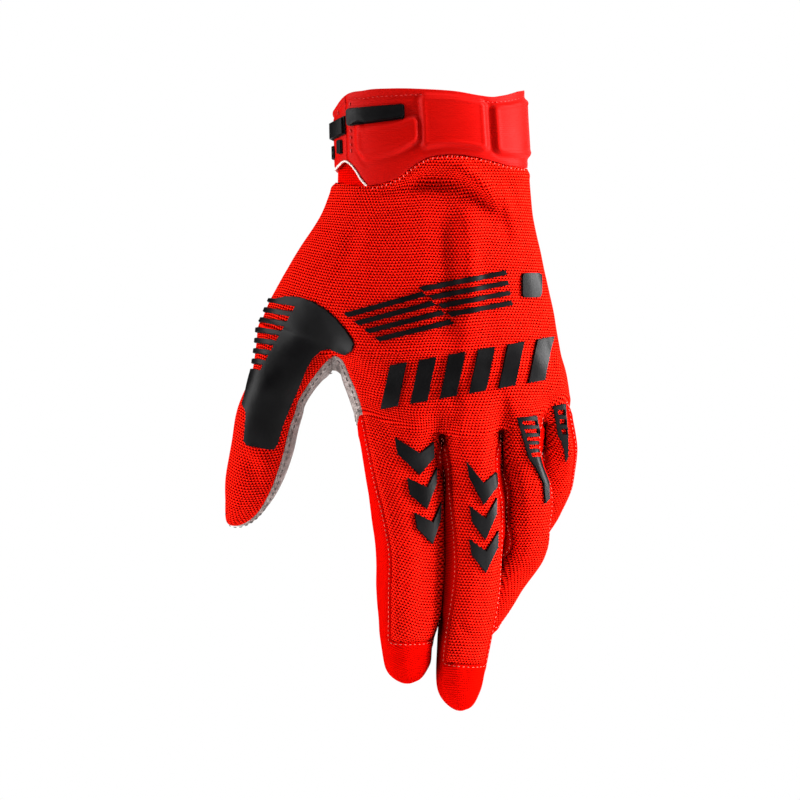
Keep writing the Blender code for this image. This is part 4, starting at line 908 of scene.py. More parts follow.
def close_slits(points, quads, owners, skin):
    """Lets neighbouring fingers lean on each other along the slits, down to where they part.

    Also gives how deep each point lies in a slit, from 0 to 1, the mask of the shade painted into the cloth
    there."""
    moved, depth = points.copy(), np.zeros(len(points))
    parts = np.array([place[0] for place in skin.places])[owners]
    held = {name: np.unique(quads[parts == name]) for name in FINGERS}
    for left, right in zip(FINGERS, FINGERS[1:]):
        for mine, other in ((held[left], held[right]), (held[right], held[left])):
            tree = tree_of(points[other], other)
            for i in mine:
                place, _, away = tree.find(points[i])
                # The painted shade's mask: stronger the nearer the other finger, below its top level
                depth[i] = max(depth[i], (1 - min(1.0, away / PAINTED_SHADE_GAP)) * (points[i][2] < -PAINTED_SHADE_TOP))
                if SLIT_CLOSED < away:
                    continue
                t = min(1.0, (SLIT_CLOSED - away) / (SLIT_CLOSED - SLIT_SHUT))
                fade = min(1.0, max(0.0, (points[i][2] + SLIT_OPENS) / SLIT_FADE))
                moved[i] += (np.array(place) - points[i]) * SLIT_SHARE * ease(t) * fade
    return moved, depth


def unevenness(points, *waves):
    """Smooth noise at the points: a sum of waves, each with its height and how often it comes in a metre."""
    return np.array([sum(height * noise.noise(Vector(p * often)) for height, often in waves) for p in points])


def nearest_distance(points, targets):
    tree = tree_of(targets)
    return np.array([tree.find(p)[2] for p in points])


def border_edges(faces):
    edges = {(a, b) for f in faces.tolist() for a, b in zip(f, (*f[1:], f[0]))}
    return [(a, b) for a, b in edges if (b, a) not in edges]


def seam_drop(distance):
    """How deep the cloth is drawn in at a distance from a seam, and the slight welt beside it."""
    return SEAM_DEPTH * bell(distance, SEAM_WIDTH) - EDGE_LIFT * bell(distance - 2.4 * SEAM_WIDTH, SEAM_WIDTH)


def new_object(name, points, faces, finish, cloth=None, sharp=40):
    """A smooth-shaded piece that rides on the glove's one body."""
    mesh = bpy.data.meshes.new(name)
    mesh.from_pydata([tuple(p) for p in points], [], [tuple(int(i) for i in f) for f in faces])
    if cloth is not None:
        layer = mesh.uv_layers.new(name="cloth")
        layer.data.foreach_set("uv", np.asarray(cloth, np.float32).ravel())
    mesh.materials.append(finish)
    mesh.validate()
    mesh.shade_smooth()
    mesh.set_sharp_from_angle(angle=math.radians(sharp))
    made = bpy.data.objects.new(name, mesh)
    bpy.context.scene.collection.objects.link(made)
    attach(made, "root")
    return made


def thickened(piece, wall):
    """Gives a sheet its wall, inwards, with a closed edge."""
    shell = piece.modifiers.new("wall", "SOLIDIFY")
    shell.thickness, shell.offset, shell.use_rim, shell.use_even_offset = wall, -1, True, False


def kept(points, faces):
    """The points that the faces use, and the faces with their new numbers."""
    used, numbers = np.unique(faces, return_inverse=True)
    return points[used], numbers.reshape(np.shape(faces)), used


def cuff_places(share, side, down):
    """Points of the cuff, for arrays of shares across, sides (-1 back, 1 palm) and shares down the cuff."""
    back = side < 0
    rim = np.where(back, smooth_curve(RIM_SHARES, RIM_BACK, share), smooth_curve(RIM_SHARES, RIM_PALM, share))
    edge = smooth_curve(EDGE_SHARES, EDGE_DROPS, share)
    near = share < NOTCH_SHARES[-1]
    notch = smooth_curve(NOTCH_SHARES, NOTCH_DROPS, np.minimum(share, NOTCH_SHARES[-1]))
    level = NOTCH_DROPS[0] + (EDGE_DROPS[2] - NOTCH_DROPS[0]) * share / NOTCH_SHARES[-1]
    edge = np.where(near, np.where(back, notch, level), edge)
    top, bottom = rim * CUFF_HEIGHT, CUFF_HEIGHT + edge * HAND_LENGTH - SEAM_GAP / 2
    left = RIM_LEFT + (SEAM_LEFT - RIM_LEFT) * down
    right = RIM_RIGHT + (SEAM_RIGHT - RIM_RIGHT) * down
    first = BODY_SECTIONS[0]
    reach = np.where(back, first.front, first.back)
    roundness = CUFF_ROUNDNESS + (BODY_ROUNDNESS - CUFF_ROUNDNESS) * down
    sets = through_three((first.set0, first.set1, first.set2), share) * HAND_DEPTH
    return np.stack([
        (left + (right - left) * share) * CUFF_WIDTH,
        sets + side * reach * CUFF_DEPTH * bulge(share, roundness),
        -(top + (bottom - top) * down),
    ], axis=-1)


def pad_profile(share, side, down):
    """The rise of the cuff's pads: a soft plateau with a slight welt along its edge and a moat around it."""
    across = np.where(side < 0, share, 2 - share)
    rise = np.zeros(np.shape(share))
    for pad in PADS:
        centre = (pad.left + pad.right) / 2, (pad.top + pad.bottom) / 2
        half = (pad.right - pad.left) / 2 * CUFF_WIDTH, (pad.bottom - pad.top) / 2 * CUFF_HEIGHT
        x = np.abs(across - centre[0]) * CUFF_WIDTH - half[0] + PAD_CORNER
        y = np.abs(down - centre[1]) * CUFF_HEIGHT - half[1] + PAD_CORNER
        away = np.hypot(np.maximum(x, 0), np.maximum(y, 0)) + np.minimum(np.maximum(x, y), 0) - PAD_CORNER
        plateau = ease(np.clip(0.5 - away / PAD_BEVEL, 0, 1))
        welt = PAD_WELT * bell(away + 0.9 * PAD_BEVEL, 0.35 * PAD_BEVEL)
        moat = PAD_MOAT * bell(away - 0.85 * PAD_BEVEL, 0.5 * PAD_BEVEL)
        rise = rise + PAD_HEIGHT * (plateau + welt - moat)
    return rise


def sheet_faces(rows, columns):
    at = (np.arange(rows - 1)[:, None] * columns + np.arange(columns - 1)[None]).reshape(-1)
    return np.stack([at, at + columns, at + columns + 1, at + 1], axis=1)


def cuff_sheet(ends, lift=None, pads=False):
    """A dense sheet of the cuff between two places around it: (share, side) at its left and right ends."""
    (share0, side0), (share1, side1) = ends
    ways = np.array([share0 if side0 < 0 else -share0, share1 if side1 < 0 else 2 - share1])
    across = np.linspace(*ways, max(12, int(CUFF_STEPS * (ways[1] - ways[0]) / 1.8)))
    side = np.where((across < 0) | (across > 1), 1, -1)
    share = np.where(across < 0, -across, np.where(across > 1, 2 - across, across))
    share, deep = np.meshgrid(share, np.linspace(0, 1, CUFF_DEEP))
    side = np.broadcast_to(side, share.shape)
    points = cuff_places(share, side, deep).reshape(-1, 3)
    faces = sheet_faces(CUFF_DEEP, len(across))
    triangles, _ = triangles_of(faces)
    normals = point_normals(points, triangles)
    height = (deep * (CUFF_HEIGHT * 1.05)).reshape(-1)
    rise = np.zeros(len(points))
    if pads:
        rise += pad_profile(share, side, deep).reshape(-1)
    if lift is not None:
        rise += lift(share, side).reshape(-1)
    rise += HEM_RISE * bell(height - 0.6 * HEM, 0.6 * HEM)
    rise -= HEM_GROOVE * bell(height - 1.35 * HEM, 0.28 * HEM)
    rise -= EDGE_DRAWN * bell((1 - deep.reshape(-1)) * CUFF_HEIGHT, EDGE_WIDTH)
    rise += unevenness(points, CUFF_WAVE)
    points = points + normals * rise[:, None]
    step = np.linalg.norm(np.diff(points.reshape(CUFF_DEEP, -1, 3), axis=1), axis=2)
    way = np.concatenate([np.zeros((CUFF_DEEP, 1)), np.cumsum(step, axis=1)], axis=1)
    cloth = np.stack([way.reshape(-1), -points[:, 2]], axis=1)
    return points, point_normals(points, triangles), faces, cloth, across


def flap_lift(share, side):
    """How far the flap stands off the cuff where it laps over it on the palm side."""
    return np.where(side < 0, 0.0, (CUFF_WALL + LAYER_GAP) * ease(np.minimum(share / FLAP_RISE_END, 1.0)))


def band_on(sheet, name, outline, height, bevel, finish):
    """A rubber strip on a sheet of the cuff, from its outline in shares around and drops from the mouth."""
    points, normals, faces, _, across = sheet
    chart = np.stack([np.tile(across, CUFF_DEEP) * CUFF_WIDTH, points[:, 2]], axis=1)
    loop = [(x * CUFF_WIDTH, -y * CUFF_HEIGHT) for x, y in outline]
    loop = rounded(loop, STRAP_CORNER, 5) if len(loop) == 4 else loop
    return raised_print(name, points, normals, chart, triangles_of(faces)[0], loop, (), height, bevel, finish)


def inset_loop(loop, step):
    """A loop moved inwards by a step, which is to the left of its direction; it runs anticlockwise."""
    points = np.array(loop, float)
    ahead = unit(np.roll(points, -1, axis=0) - points)
    left = np.stack([-ahead[:, 1], ahead[:, 0]], axis=1)
    before = np.roll(left, 1, axis=0)
    share = step / np.maximum(1 + (left * before).sum(axis=1), 0.35)
    return [tuple(p) for p in points + (left + before) * share[:, None]]


def anticlockwise(loop):
    points = np.array(loop)
    following = np.roll(points, -1, axis=0)
    area = (points[:, 0] * following[:, 1] - following[:, 0] * points[:, 1]).sum()
    return list(loop) if area > 0 else list(loop)[::-1]


def raised_print(name, points, normals, chart, triangles, loop, holes, height, bevel, finish):
    """A moulded print that follows a surface: a flat top and a slope down to its edge all round."""
    loops = [anticlockwise(loop), *(anticlockwise(hole)[::-1] for hole in holes)]
    tops = [inset_loop(each, bevel) for each in loops]
    box = np.array(loops[0])
    low, high = box.min(axis=0) - 1e-3, box.max(axis=0) + 1e-3
    spread = chart[triangles]
    near = ((spread.max(axis=1) > low) & (spread.min(axis=1) < high)).all(axis=1)
    near &= np.ptp(spread[:, :, 0], axis=1) < 0.2 * CUFF_WIDTH
    near = triangles[near]
    data = np.hstack([chart, points, normals])
    found, pieces = cut_pieces(data, near, tops)
    top_count = len(found)
    for ring, inner in zip(loops, tops):
        for k in range(len(ring)):
            following = (k + 1) % len(ring)
            more, extra = cut_pieces(data, near, [[ring[k], ring[following], inner[following], inner[k]]])
            pieces += [[i + len(found) for i in ids] for ids in extra]
            found += more
    found = np.array(found)
    same = joined_points(found[:, 2:5])
    high_up = {same[i] for i in range(top_count)}
    pieces = [list(dict.fromkeys(same[i] for i in ids)) for ids in pieces]
    pieces = [ids for ids in pieces if len(ids) > 2]
    facing = unit(found[:, 5:8])
    rise = np.array([PRINT_GAP + height * (1.0 if i in high_up else PRINT_FOOT) for i in range(len(found))])
    upper = found[:, 2:5] + facing * rise[:, None]
    lower = found[:, 2:5] - facing * PRINT_SUNK
    used = sorted({i for ids in pieces for i in ids})
    number = {old: new for new, old in enumerate(used)}
    count = len(used)
    pieces = [[number[i] for i in ids] for ids in pieces]
    edges = {(a, b) for ids in pieces for a, b in zip(ids, (*ids[1:], ids[0]))}
    walls = [(b, a, a + count, b + count) for a, b in edges if (b, a) not in edges]
    flat = found[used][:, :2]
    faces = pieces + walls
    cloth = np.vstack([flat, flat])[[i for f in faces for i in f]]
    return new_object(name, np.vstack([upper[used], lower[used]]), faces, finish, cloth, 35)


def cut_pieces(data, triangles, loops):
    """The parts of a surface's triangles inside an outline with holes, as data rows and polygons of them."""
    loops = [[Vector((x, y, 0.0)) for x, y in loop] for loop in loops]
    corners = [v for loop in loops for v in loop]
    found, pieces = [], []
    low, high = data[triangles][:, :, :2].min(axis=1), data[triangles][:, :, :2].max(axis=1)
    for cell in tessellate_polygon(loops):
        a, b, c = (np.array(corners[i][:2]) for i in cell)
        turn = (b[0] - a[0]) * (c[1] - a[1]) - (b[1] - a[1]) * (c[0] - a[0])
        if abs(turn) < 1e-14:
            continue
        cell = (a, b, c) if turn > 0 else (a, c, b)
        box = np.array(cell)
        near = ((high >= box.min(axis=0)) & (low <= box.max(axis=0))).all(axis=1)
        for triangle in triangles[near]:
            piece = [data[i] for i in triangle]
            for k in range(3):
                piece = clip(piece, cell[k], cell[(k + 1) % 3] - cell[k])
                if len(piece) < 3:
                    break
            if len(piece) > 2:
                pieces.append(list(range(len(found), len(found) + len(piece))))
                found += piece
    return found, pieces


def build_cuff(finishes):
    cuff = cuff_sheet(((FLAP_SEAM, -1), (CUFF_PALM_END, 1)), pads=True)
    flap = cuff_sheet(((FLAP_END, 1), (FLAP_SEAM, -1)), lift=flap_lift)
    for sheet, node in ((cuff, "cuff"), (flap, "wrist_flap")):
        points, _, faces, cloth, _ = sheet
        cloth = cloth[faces.reshape(-1)]
        piece = new_object(node + "_shell", points, faces, finishes["neoprene"], cloth, 50)
        thickened(piece, CUFF_WALL)
        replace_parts(piece, node)
    strap = box_outline(STRAP_LEFT, STRAP_RIGHT, STRAP_TOPS, STRAP_BOTTOMS)
    tab = [*zip(TAB_SHARES, TAB_TOPS), *reversed([*zip(TAB_SHARES, TAB_BOTTOMS)])]
    bands = [
        (cuff, "pull_tab_strip", "pull_tab", strap, TAB_HEIGHT, 2 * PRINT_BEVEL),
        (flap, "side_tab_strip", "side_tab", tab, TAB_HEIGHT, 2 * PRINT_BEVEL),
    ]
    for k, bar in enumerate(SLOT_BARS):
        names = f"flap_slot_bar_{k + 1}", f"flap_slot_{k + 1}"
        bands.append((flap, *names, box_outline(*bar), PRINT_HEIGHT, PRINT_BEVEL))
    for sheet, name, node, outline, height, bevel in bands:
        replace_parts(band_on(sheet, name, outline, height, bevel, finishes["rubber"]), node)


def cuff_line(share0, share1, down0, down1, count, rise):
    """A line on the cuff's back, with the directions out of it."""
    share, down = np.linspace(share0, share1, count), np.linspace(down0, down1, count)
    sides = np.full(count, -1)
    here = cuff_places(share, sides, down)
    across = cuff_places(share + 0.004, sides, down) - here
    below = cuff_places(share, sides, down + 0.01) - here
    out = unit(-np.cross(across, below))
    return here + out * rise, out


def tube(points, faces, rings):
    """Adds a closed tube to the points and faces, from rings of (middle, across, up, radius)."""
    first = len(points)
    for middle, across, up, radius in rings:
        for k in range(TUBE_SIDES):
            a = 2 * math.pi * k / TUBE_SIDES
            points.append(middle + (across * math.cos(a) + up * math.sin(a)) * radius)
    for start in range(first, len(points) - TUBE_SIDES, TUBE_SIDES):
        for k in range(TUBE_SIDES):
            i, j = start + k, start + (k + 1) % TUBE_SIDES
            faces.append((i, i + TUBE_SIDES, j + TUBE_SIDES, j))
    faces.append(tuple(range(first, first + TUBE_SIDES)))
    faces.append(tuple(reversed(range(len(points) - TUBE_SIDES, len(points)))))


def sew_cuff(finishes):
    """The cuff's visible threads and the cut edge of its notch."""
    line, out = cuff_line(*NOTCH_LINE)
    points, faces = [], []
    across = unit(np.cross(out, np.gradient(line, axis=0)))
    tube(points, faces, [(*row, NOTCH_EDGE) for row in zip(line, across, out)])
    new_object("notch_edge", points, faces, finishes["cut_edge"], None, 60)
    for name, lines, size, finish, slot, turn in CUFF_THREADS:
        stitches(name, [cuff_line(*line) for line in lines], size, finishes[finish], turn)


def build_gusset(finishes):
    """The stretch piece that shows inside the slit: near the skin in the notch, behind the cuff above it."""
    across = np.linspace(GUSSET_START, GUSSET_END, GUSSET_STEPS[0])
    rows = np.linspace(GUSSET_TOP, GUSSET_BOTTOM, GUSSET_STEPS[1])
    points, tucked = [], []
    for up in rows:
        t = ease(min(1.0, max(0.0, (up - GUSSET_BEND) / GUSSET_BEND_WAY)))
        for a in across:
            low = np.array(section_point(BODY_SECTIONS[0], abs(a), -1 if a > 0 else 1, ()))
            points.append(low + np.array([0.0, 0.0, GUSSET_HEIGHT * up]))
            tucked.append(GUSSET_TUCK + (CUFF_WALL + LAYER_GAP - GUSSET_TUCK) * t)
    points = np.array(points)
    faces = sheet_faces(len(rows), len(across))
    normals = point_normals(points, triangles_of(faces)[0])
    points = points - normals * (np.array(tucked) - unevenness(points, GUSSET_WAVE))[:, None]
    cloth = np.stack([points[:, 0], -points[:, 2]], axis=1)[faces.reshape(-1)]
    piece = new_object("slit_gusset_sheet", points, faces, finishes["stretch"], cloth, 50)
    thickened(piece, STRETCH_WALL)
    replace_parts(piece, "slit_gusset")


def along_line(line, step):
    """Places every step along a line of points, each with its direction."""
    ways = way_along(line)
    at = np.arange(step, ways[-1] - step, step)
    places, ends = (
        np.stack([np.interp(here, ways, line[:, k]) for k in range(3)], axis=1)
        for here in (at, at + 0.2 * step)
    )
    return places, unit(ends - places)


def stitches(name, lines, size, finish, turn=0.0):
    """Small rounded stitches along lines of (points, outward directions)."""
    long, thick, step = size
    points, faces = [], []
    for line, out in lines:
        if len(line) < 3:
            continue
        nearest = tree_of(line)
        for place, along in zip(*along_line(line, step)):
            up = out[nearest.find(place)[1]]
            across = unit(np.cross(up, along))
            along = along * math.cos(turn) + across * math.sin(turn)
            across = np.cross(up, along)
            tube(points, faces, [
                (place + along * share * long + up * thick * (0.35 - 0.9 * share * share), across, up,
                 0.5 * thick * wide) for share, wide in STITCH_PROFILE
            ])
    return new_object(name, points, faces, finish, None, 60)


def chains(edges):
    """Edges joined into runs of points."""
    following = {}
    for a, b in edges:
        following.setdefault(a, []).append(b)
    starts = set(following) - {b for _, b in edges}
    runs = []
    while any(following.values()):
        start = next((s for s in starts if following.get(s)), None)
        if start is None:
            start = next(s for s, ends in following.items() if ends)
        run = [start]
        while following.get(run[-1]):
            run.append(following[run[-1]].pop())
        runs.append(run)
    return runs


def beside_seam(points, normals, edges, inset):
    """Lines that run beside a panel's seams, on the panel's side, with the directions out of the cloth."""
    lines = []
    rise = seam_drop(0.0) - seam_drop(inset)
    for run in chains(edges):
        line, out = points[run], normals[run]
        inward = unit(np.cross(out, np.gradient(line, axis=0)))
        lines.append((line + inward * inset + out * rise, out))
    return lines


def build_panels(skin, fine, finishes):
    """The sewn panels of the hand, and the surface that the prints lie on."""
    points, quads, owners, cloth = fine
    panel = np.array([PANELS.index(panel_of(place)) for place in skin.places])[owners]
    triangles, _ = triangles_of(quads)
    points = press_creases(points, point_normals(points, triangles))
    points, depth = close_slits(points, quads, owners, skin)
    points = points + point_normals(points, triangles) * unevenness(points, *SLACK_WAVES)[:, None]
    borders = {name: border_edges(quads[panel == number]) for number, name in enumerate(PANELS)}
    seams = sorted({i for edges in borders.values() for edge in edges for i in edge})
    drop = seam_drop(nearest_distance(points, points[seams]))
    sewn = points - point_normals(points, triangles) * drop[:, None]
    for number, name in enumerate(PANELS):
        finish, wall, slot = PANEL_CLOTHS.get(name, ("stretch", STRETCH_WALL, "stretch_knit"))
        mine = panel == number
        used, faces, old = kept(sewn, quads[mine])
        places = cloth[mine].reshape(-1, 2)
        piece = new_object(name + "_cloth", used, faces, finishes[finish], places, 60)
        # Each point's depth in a slit, kept on the cloth for the shade painted between the fingers
        painted_shade = piece.data.attributes.new("slit", "FLOAT", "POINT")
        painted_shade.data.foreach_set("value", depth[old].astype(np.float32))
        thickened(piece, wall * 0.8)
        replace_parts(piece, name)
    return sewn, point_normals(sewn, triangles), quads, owners, borders


def build_prints(points, normals, quads, owners, skin, finish):
    """The prints, each cut from the part of the back panel that the front view sees."""
    chart = points[:, [0, 2]]
    held = np.array([place[0] if panel_of(place) == "back_panel" else "" for place in skin.places])[owners]

    def add(name, parts, outline, holes=()):
        triangles, _ = triangles_of(quads[np.isin(held, parts)])
        a, b, c = (points[triangles[:, k]] for k in range(3))
        triangles = triangles[np.cross(b - a, c - a)[:, 1] < 0]
        outline, *holes = [[in_front_view(*place) for place in loop] for loop in (outline, *holes)]
        surface = points, normals, chart, triangles
        made = raised_print(name + "_print", *surface, outline, holes, PRINT_HEIGHT, PRINT_BEVEL, finish)
        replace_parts(made, name)

    back = ("body", "hand", *FINGERS)
    for side, group in STRIPES.items():
        for k in range(STRIPE_COUNT):
            add(f"back_stripe_{side}_{k + 1}", back, stripe(group, k))
    for k in range(BLOCK_COUNT):
        add(f"knuckle_block_{k + 1}", back, block(k))
    x, drop, wide, tall = BADGE
    badge = box_outline(x - wide / 2, x + wide / 2, drop - tall / 2, drop + tall / 2)
    add("badge_pad", back, rounded(badge, BADGE_CORNER, 6))
    for k, c in enumerate(CHEVRONS):
        add(f"{c.finger}_chevron_{k % 3 + 1}", ("hand", c.finger), chevron(c))
    for g in GUARDS:
        add(f"{g.finger}_knuckle_guard", ("hand", g.finger), *guard(g))
    add("thumb_patch", ("body", "hand", "thumb"), patch_outline())


def build_stitches(points, normals, borders, finishes):
    """The threads beside the strips between the fingers, and along the suede's edge."""
    light, dark = [], []
    shared = set(map(frozenset, borders["back_panel"]))
    for name in FINGERS:
        edges = [e for e in borders[name + "_sidewall"] if frozenset(e) in shared]
        light += beside_seam(points, normals, edges, STRIP_INSET)
    for name in ("palm", "thumb_palm"):
        dark += beside_seam(points, normals, borders[name], SUEDE_INSET)
    stitches("side_strip_stitches", light, FINE_STITCH, finishes["thread"])
    stitches("suede_edge_stitches", dark, STITCH, finishes["dark_thread"])


class Recipe:
    """Builds a material's nodes: every call adds one and gives its output."""

    def __init__(self, name, **values):
        self.material = bpy.data.materials.new(name)
        self.material.use_nodes = True
        self.tree = self.material.node_tree
        self.shader = self.tree.nodes["Principled BSDF"]
        for key, value in values.items():
            self.shader.inputs[key.replace("_", " ")].default_value = value
        self.place = self.add("TexCoord", output=3)

    def feed(self, socket, value):
        if isinstance(value, bpy.types.NodeSocket):
            self.tree.links.new(value, socket)
        else:
            socket.default_value = value

    def add(self, kind, inputs=None, output=0, **settings):
        node = self.tree.nodes.new("ShaderNode" + kind)
        for key, value in settings.items():
            setattr(node, key, value)
        for key, value in (inputs or {}).items():
            self.feed(node.inputs[key], value)
        return node.outputs[output]

    def math(self, operation, *values):
        return self.add("Math", dict(enumerate(values)), operation=operation)

    def total(self, *terms):
        """The sum of the terms, each a value or a pair of a value and its weight."""
        values = [self.math("MULTIPLY", *term) if isinstance(term, tuple) else term for term in terms]
        while len(values) > 1:
            values[:2] = [self.math("ADD", *values[:2])]
        return values[0]

    def noise(self, scale, detail=2.0, rough=0.5):
        inputs = {"Vector": self.place, "Scale": scale, "Detail": detail, "Roughness": rough}
        return self.add("TexNoise", inputs)

    def ramp(self, value, *stops):
        node = self.tree.nodes.new("ShaderNodeValToRGB")
        self.feed(node.inputs[0], value)
        ramp = node.color_ramp
        while len(ramp.elements) < len(stops):
            ramp.elements.new(0.5)
        for element, (place, colour) in zip(ramp.elements, stops):
            element.position, element.color = place, (*colour, 1.0)
        return node.outputs[0]

    def smooth(self, value, low, high, to_low=0.0, to_high=1.0):
        inputs = {"Value": value, "From Min": low, "From Max": high, "To Min": to_low, "To Max": to_high}
        return self.add("MapRange", inputs, interpolation_type="SMOOTHSTEP")

    def mix(self, share, first, second):
        node = self.tree.nodes.new("ShaderNodeMix")
        node.data_type = "RGBA"
        for place, value in ((0, share), (6, first), (7, second)):
            self.feed(node.inputs[place], (*value, 1.0) if isinstance(value, tuple) else value)
        return node.outputs[2]

    def cloth(self):
        """Across and down on the cloth, in metres."""
        both = self.add("SeparateXYZ", {"Vector": self.add("UVMap", uv_map="cloth")})
        return both, both.node.outputs[1]

    def painted_slit_shade(self, colour):
        """Painted shade: darker where the cloth lies deep between two fingers."""
        depth = self.add("Attribute", output=2, attribute_name="slit")
        return self.mix(self.smooth(depth, 0.20, 0.80, 0.0, 0.94), colour, (0.010, 0.0, 0.0))

    def finish(self, colour, roughness, height, depth, strength):
        self.feed(self.shader.inputs["Base Color"], colour)
        if roughness is not None:
            self.feed(self.shader.inputs["Roughness"], roughness)
        if height is not None:
            bump = self.add("Bump", {"Height": height, "Distance": depth, "Strength": strength})
            self.feed(self.shader.inputs["Normal"], bump)
        return self.material


def knit_finish():
    """Open knit: staggered cells painted near black as the shade seen through its holes, each between the two
    leaning legs of a loop, and a painted highlight on the loops' crowns.
    """
    r = Recipe("knit", Roughness=0.75, Specular_IOR_Level=0.0)
    across, down = r.cloth()
    wobble = r.noise(240.0)
    u = r.total(r.math("DIVIDE", across, KNIT_PITCH), (wobble, 0.5))
    v = r.total(r.math("DIVIDE", down, KNIT_ROW), (wobble, 0.35))
    odd = r.math("MODULO", r.math("FLOOR", v), 2.0)
    x = r.total(r.math("FRACT", r.total(u, (odd, 0.5))), -0.5)
    y = r.total(r.math("FRACT", v), -0.5)
    bent = r.total(y, (r.math("ABSOLUTE", x), -0.75), 0.16)
    squares = [r.math("POWER", r.math("DIVIDE", way, half), 2.0) for way, half in ((x, 0.36), (bent, 0.25))]
    away = r.math("SQRT", r.total(*squares))
    yarn, crown = r.smooth(away, 0.62, 1.42), r.smooth(away, 1.20, 2.00)
    fibre = r.noise(2400.0, 3.0, 0.6)
    base = r.mix(r.noise(22.0, 3.0), *KNIT_REDS)
    # A painted highlight on the loops' crowns, broken up by the fibres
    highlighted = r.mix(r.math("MULTIPLY", crown, r.smooth(fibre, 0.30, 0.70, 0.25, 1.0)), base, CROWN_HIGHLIGHT_RED)
    # The open cells painted near black as shade, with the slits' painted shade over all
    colour = r.painted_slit_shade(r.mix(yarn, HOLE_SHADE_RED, highlighted))
    return r.finish(colour, None, r.total((yarn, 0.7), (crown, 0.5), (fibre, 0.22)), 0.00040, 1.0)


def stretch_finish():
    """Fine close knit with ribs across, and a painted shade in the grooves between them."""
    r = Recipe("stretch_knit", Roughness=0.68, Specular_IOR_Level=0.0)
    across, down = r.cloth()
    wobble = r.noise(300.0)
    rib, wale = (
        r.math("SINE", r.math("MULTIPLY", r.total(r.math("DIVIDE", way, pitch), (wobble, 0.3)), math.tau))
        for way, pitch in ((down, RIB_ROW), (across, RIB_PITCH))
    )
    height = r.total((rib, 0.5), (wale, 0.18), r.noise(2600.0, 3.0, 0.6))
    base = r.mix(r.noise(30.0, 3.0), *STRETCH_REDS)
    # The grooves between the ribs painted darker as shade
    colour = r.painted_slit_shade(r.mix(r.smooth(rib, -1.0, 0.2, 0.55, 0.0), base, STRETCH_GROOVE_SHADE))
    return r.finish(colour, None, height, 0.00026, 1.0)


def neoprene_finish():
    """Smooth faced neoprene with a very fine rib."""
    r = Recipe("neoprene", Roughness=0.5, Specular_IOR_Level=0.04)
    rib = r.math("SINE", r.math("MULTIPLY", r.cloth()[1], math.tau / NEOPRENE_RIB))
    patches = r.noise(40.0, 3.0)
    rough = r.smooth(patches, 0.3, 0.7, 0.44, 0.58)
    height = r.total((rib, 0.35), (r.noise(2200.0, 3.0, 0.6), 0.8))
    return r.finish(r.mix(patches, *NEOPRENE_REDS), rough, height, 0.00008, 0.8)


def suede_finish():
    r = Recipe("suede", Roughness=0.92, Specular_IOR_Level=0.15)
    nap = r.noise(1500.0, 4.0, 0.65)
    mottle = r.noise(210.0, 4.0, 0.65)
    cells = {"Vector": r.place, "Scale": 900.0, "Randomness": 1.0}
    line = r.smooth(r.add("TexVoronoi", cells, feature="DISTANCE_TO_EDGE"), 0.0, 0.10)
    colour = r.mix(r.smooth(nap, 0.3, 0.7, 0.0, 0.35), r.ramp(mottle, *SUEDE_STOPS), SUEDE_NAP)
    colour = r.mix(r.math("MULTIPLY", r.math("SUBTRACT", 1.0, line), 0.35), colour, SUEDE_LINE)
    return r.finish(colour, None, r.total((nap, 0.5), line, (mottle, 0.8)), 0.00022, 0.8)


def rubber_finish():
    r = Recipe("rubber", Roughness=0.44, Specular_IOR_Level=0.09)
    smear = r.noise(60.0, 3.0)
    rough = r.smooth(smear, 0.3, 0.7, 0.34, 0.50)
    return r.finish(r.mix(smear, *RUBBER_BLACKS), rough, r.noise(1800.0, 3.0, 0.55), 0.00006, 0.7)


def thread_finish(name, colour):
    r = Recipe(name, Roughness=0.6)
    twist = r.add("TexWave", {"Vector": r.place, "Scale": 1400.0, "Distortion": 1.5})
    return r.finish(r.mix(twist, colour, tuple(c * 0.6 for c in colour)), None, twist, 0.00008, 0.5)


def backdrop_finish():
    r = Recipe("pale_floor", Roughness=0.85, Emission_Color=(0.9, 0.9, 0.9, 1.0))
    r.feed(r.shader.inputs["Emission Strength"], r.math("MULTIPLY", r.add("LightPath"), FLOOR_GLOW))
    return r.finish(r.mix(r.noise(3.0), (0.80, 0.80, 0.80), (0.84, 0.84, 0.84)), None, None, None, None)


def softbox(name, place, size, power):
    light = bpy.data.lights.new(name, "AREA")
    light.shape, light.size, light.size_y = "RECTANGLE", *size
    light.energy = power
    made = bpy.data.objects.new(name, light)
    bpy.context.scene.collection.objects.link(made)
    made.location = place
    made.rotation_euler = (Vector(LIGHT_TARGET) - Vector(place)).to_track_quat("-Z", "Y").to_euler()


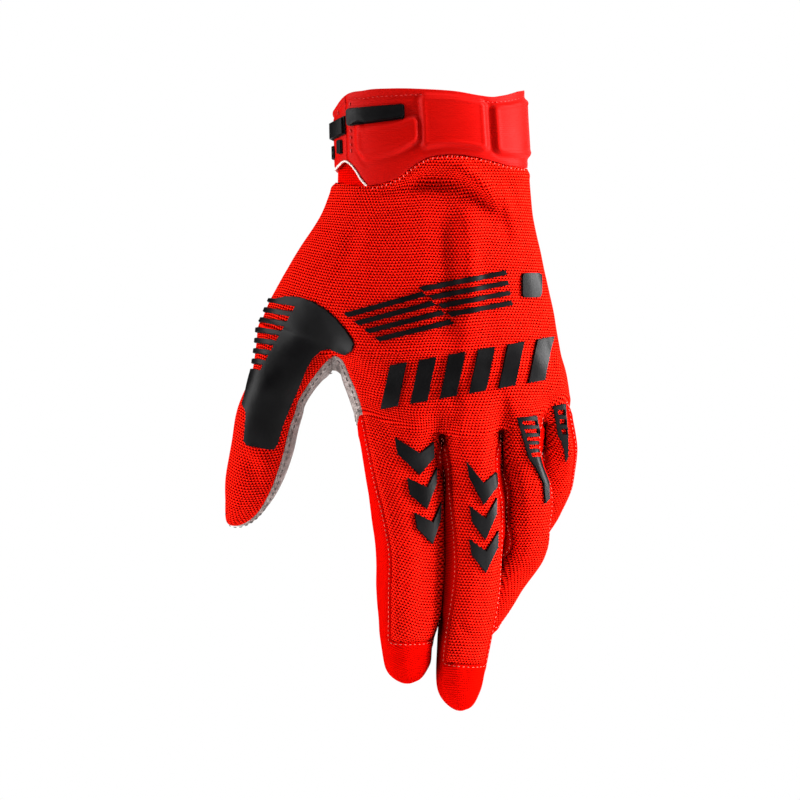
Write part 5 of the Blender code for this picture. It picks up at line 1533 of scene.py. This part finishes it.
def build_scene():
    """Camera, lights, floor and surroundings."""
    scene = bpy.context.scene
    camera = bpy.data.cameras.new("camera")
    view = bpy.data.objects.new("camera", camera)
    scene.collection.objects.link(view)
    middle = PHOTO_SIZE // 2
    view.location = ((middle - MOUTH_PIXEL[0]) * PIXEL, -CAMERA_AWAY, (MOUTH_PIXEL[1] - middle) * PIXEL)
    view.rotation_euler = (math.pi / 2, 0.0, 0.0)
    camera.sensor_width = 36.0
    camera.lens = camera.sensor_width * CAMERA_AWAY / (PHOTO_SIZE * PIXEL)
    camera.clip_start, camera.clip_end = 0.5, 60.0
    scene.camera = view
    scene.view_settings.view_transform = "Standard"
    scene.view_settings.look = "None"
    for row in SOFTBOXES:
        softbox(*row)
    world = bpy.data.worlds.new("studio")
    scene.world = world
    world.use_nodes = True
    tree = world.node_tree
    tree.nodes.clear()
    kinds = ("OutputWorld", "LightPath", "MixShader", "Background", "Background")
    output, path, both, fill, seen = (tree.nodes.new("ShaderNode" + kind) for kind in kinds)
    for node, strength in ((fill, WORLD_FILL), (seen, 1.0)):
        node.inputs[0].default_value, node.inputs[1].default_value = (1.0, 1.0, 1.0, 1.0), strength
    tree.links.new(path.outputs["Is Camera Ray"], both.inputs[0])
    tree.links.new(fill.outputs[0], both.inputs[1])
    tree.links.new(seen.outputs[0], both.inputs[2])
    tree.links.new(both.outputs[0], output.inputs[0])
    mesh = bpy.data.meshes.new("floor")
    disc = bmesh.new()
    bmesh.ops.create_circle(disc, cap_ends=True, segments=96, radius=FLOOR_RADIUS)
    disc.to_mesh(mesh)
    disc.free()
    mesh.materials.append(backdrop_finish())
    floor = bpy.data.objects.new("floor", mesh)
    floor.location = (0.0, 0.0, -FLOOR_DEPTH)
    scene.collection.objects.link(floor)


def build():
    finishes = {
        "knit": knit_finish(), "stretch": stretch_finish(), "neoprene": neoprene_finish(),
        "suede": suede_finish(), "rubber": rubber_finish(),
        **{key: thread_finish(name, colour) for key, name, colour in THREADS},
    }
    skin = build_skin()
    points = np.array(skin.points)
    points = fold_points(points, point_normals(points, triangles_of(skin.faces)[0]))
    fine = subdivided(points, skin, lay_chart(skin, points))
    sewn, normals, quads, owners, borders = build_panels(skin, fine, finishes)
    build_prints(sewn, normals, quads, owners, skin, finishes["rubber"])
    build_stitches(sewn, normals, borders, finishes)
    build_cuff(finishes)
    sew_cuff(finishes)
    build_gusset(finishes)
    build_scene()


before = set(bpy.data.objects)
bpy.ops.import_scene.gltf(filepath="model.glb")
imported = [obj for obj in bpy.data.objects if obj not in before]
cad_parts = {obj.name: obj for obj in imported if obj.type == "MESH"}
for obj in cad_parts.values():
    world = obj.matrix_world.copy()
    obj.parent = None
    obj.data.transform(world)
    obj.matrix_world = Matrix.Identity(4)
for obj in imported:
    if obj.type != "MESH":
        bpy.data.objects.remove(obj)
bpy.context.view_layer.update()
build()
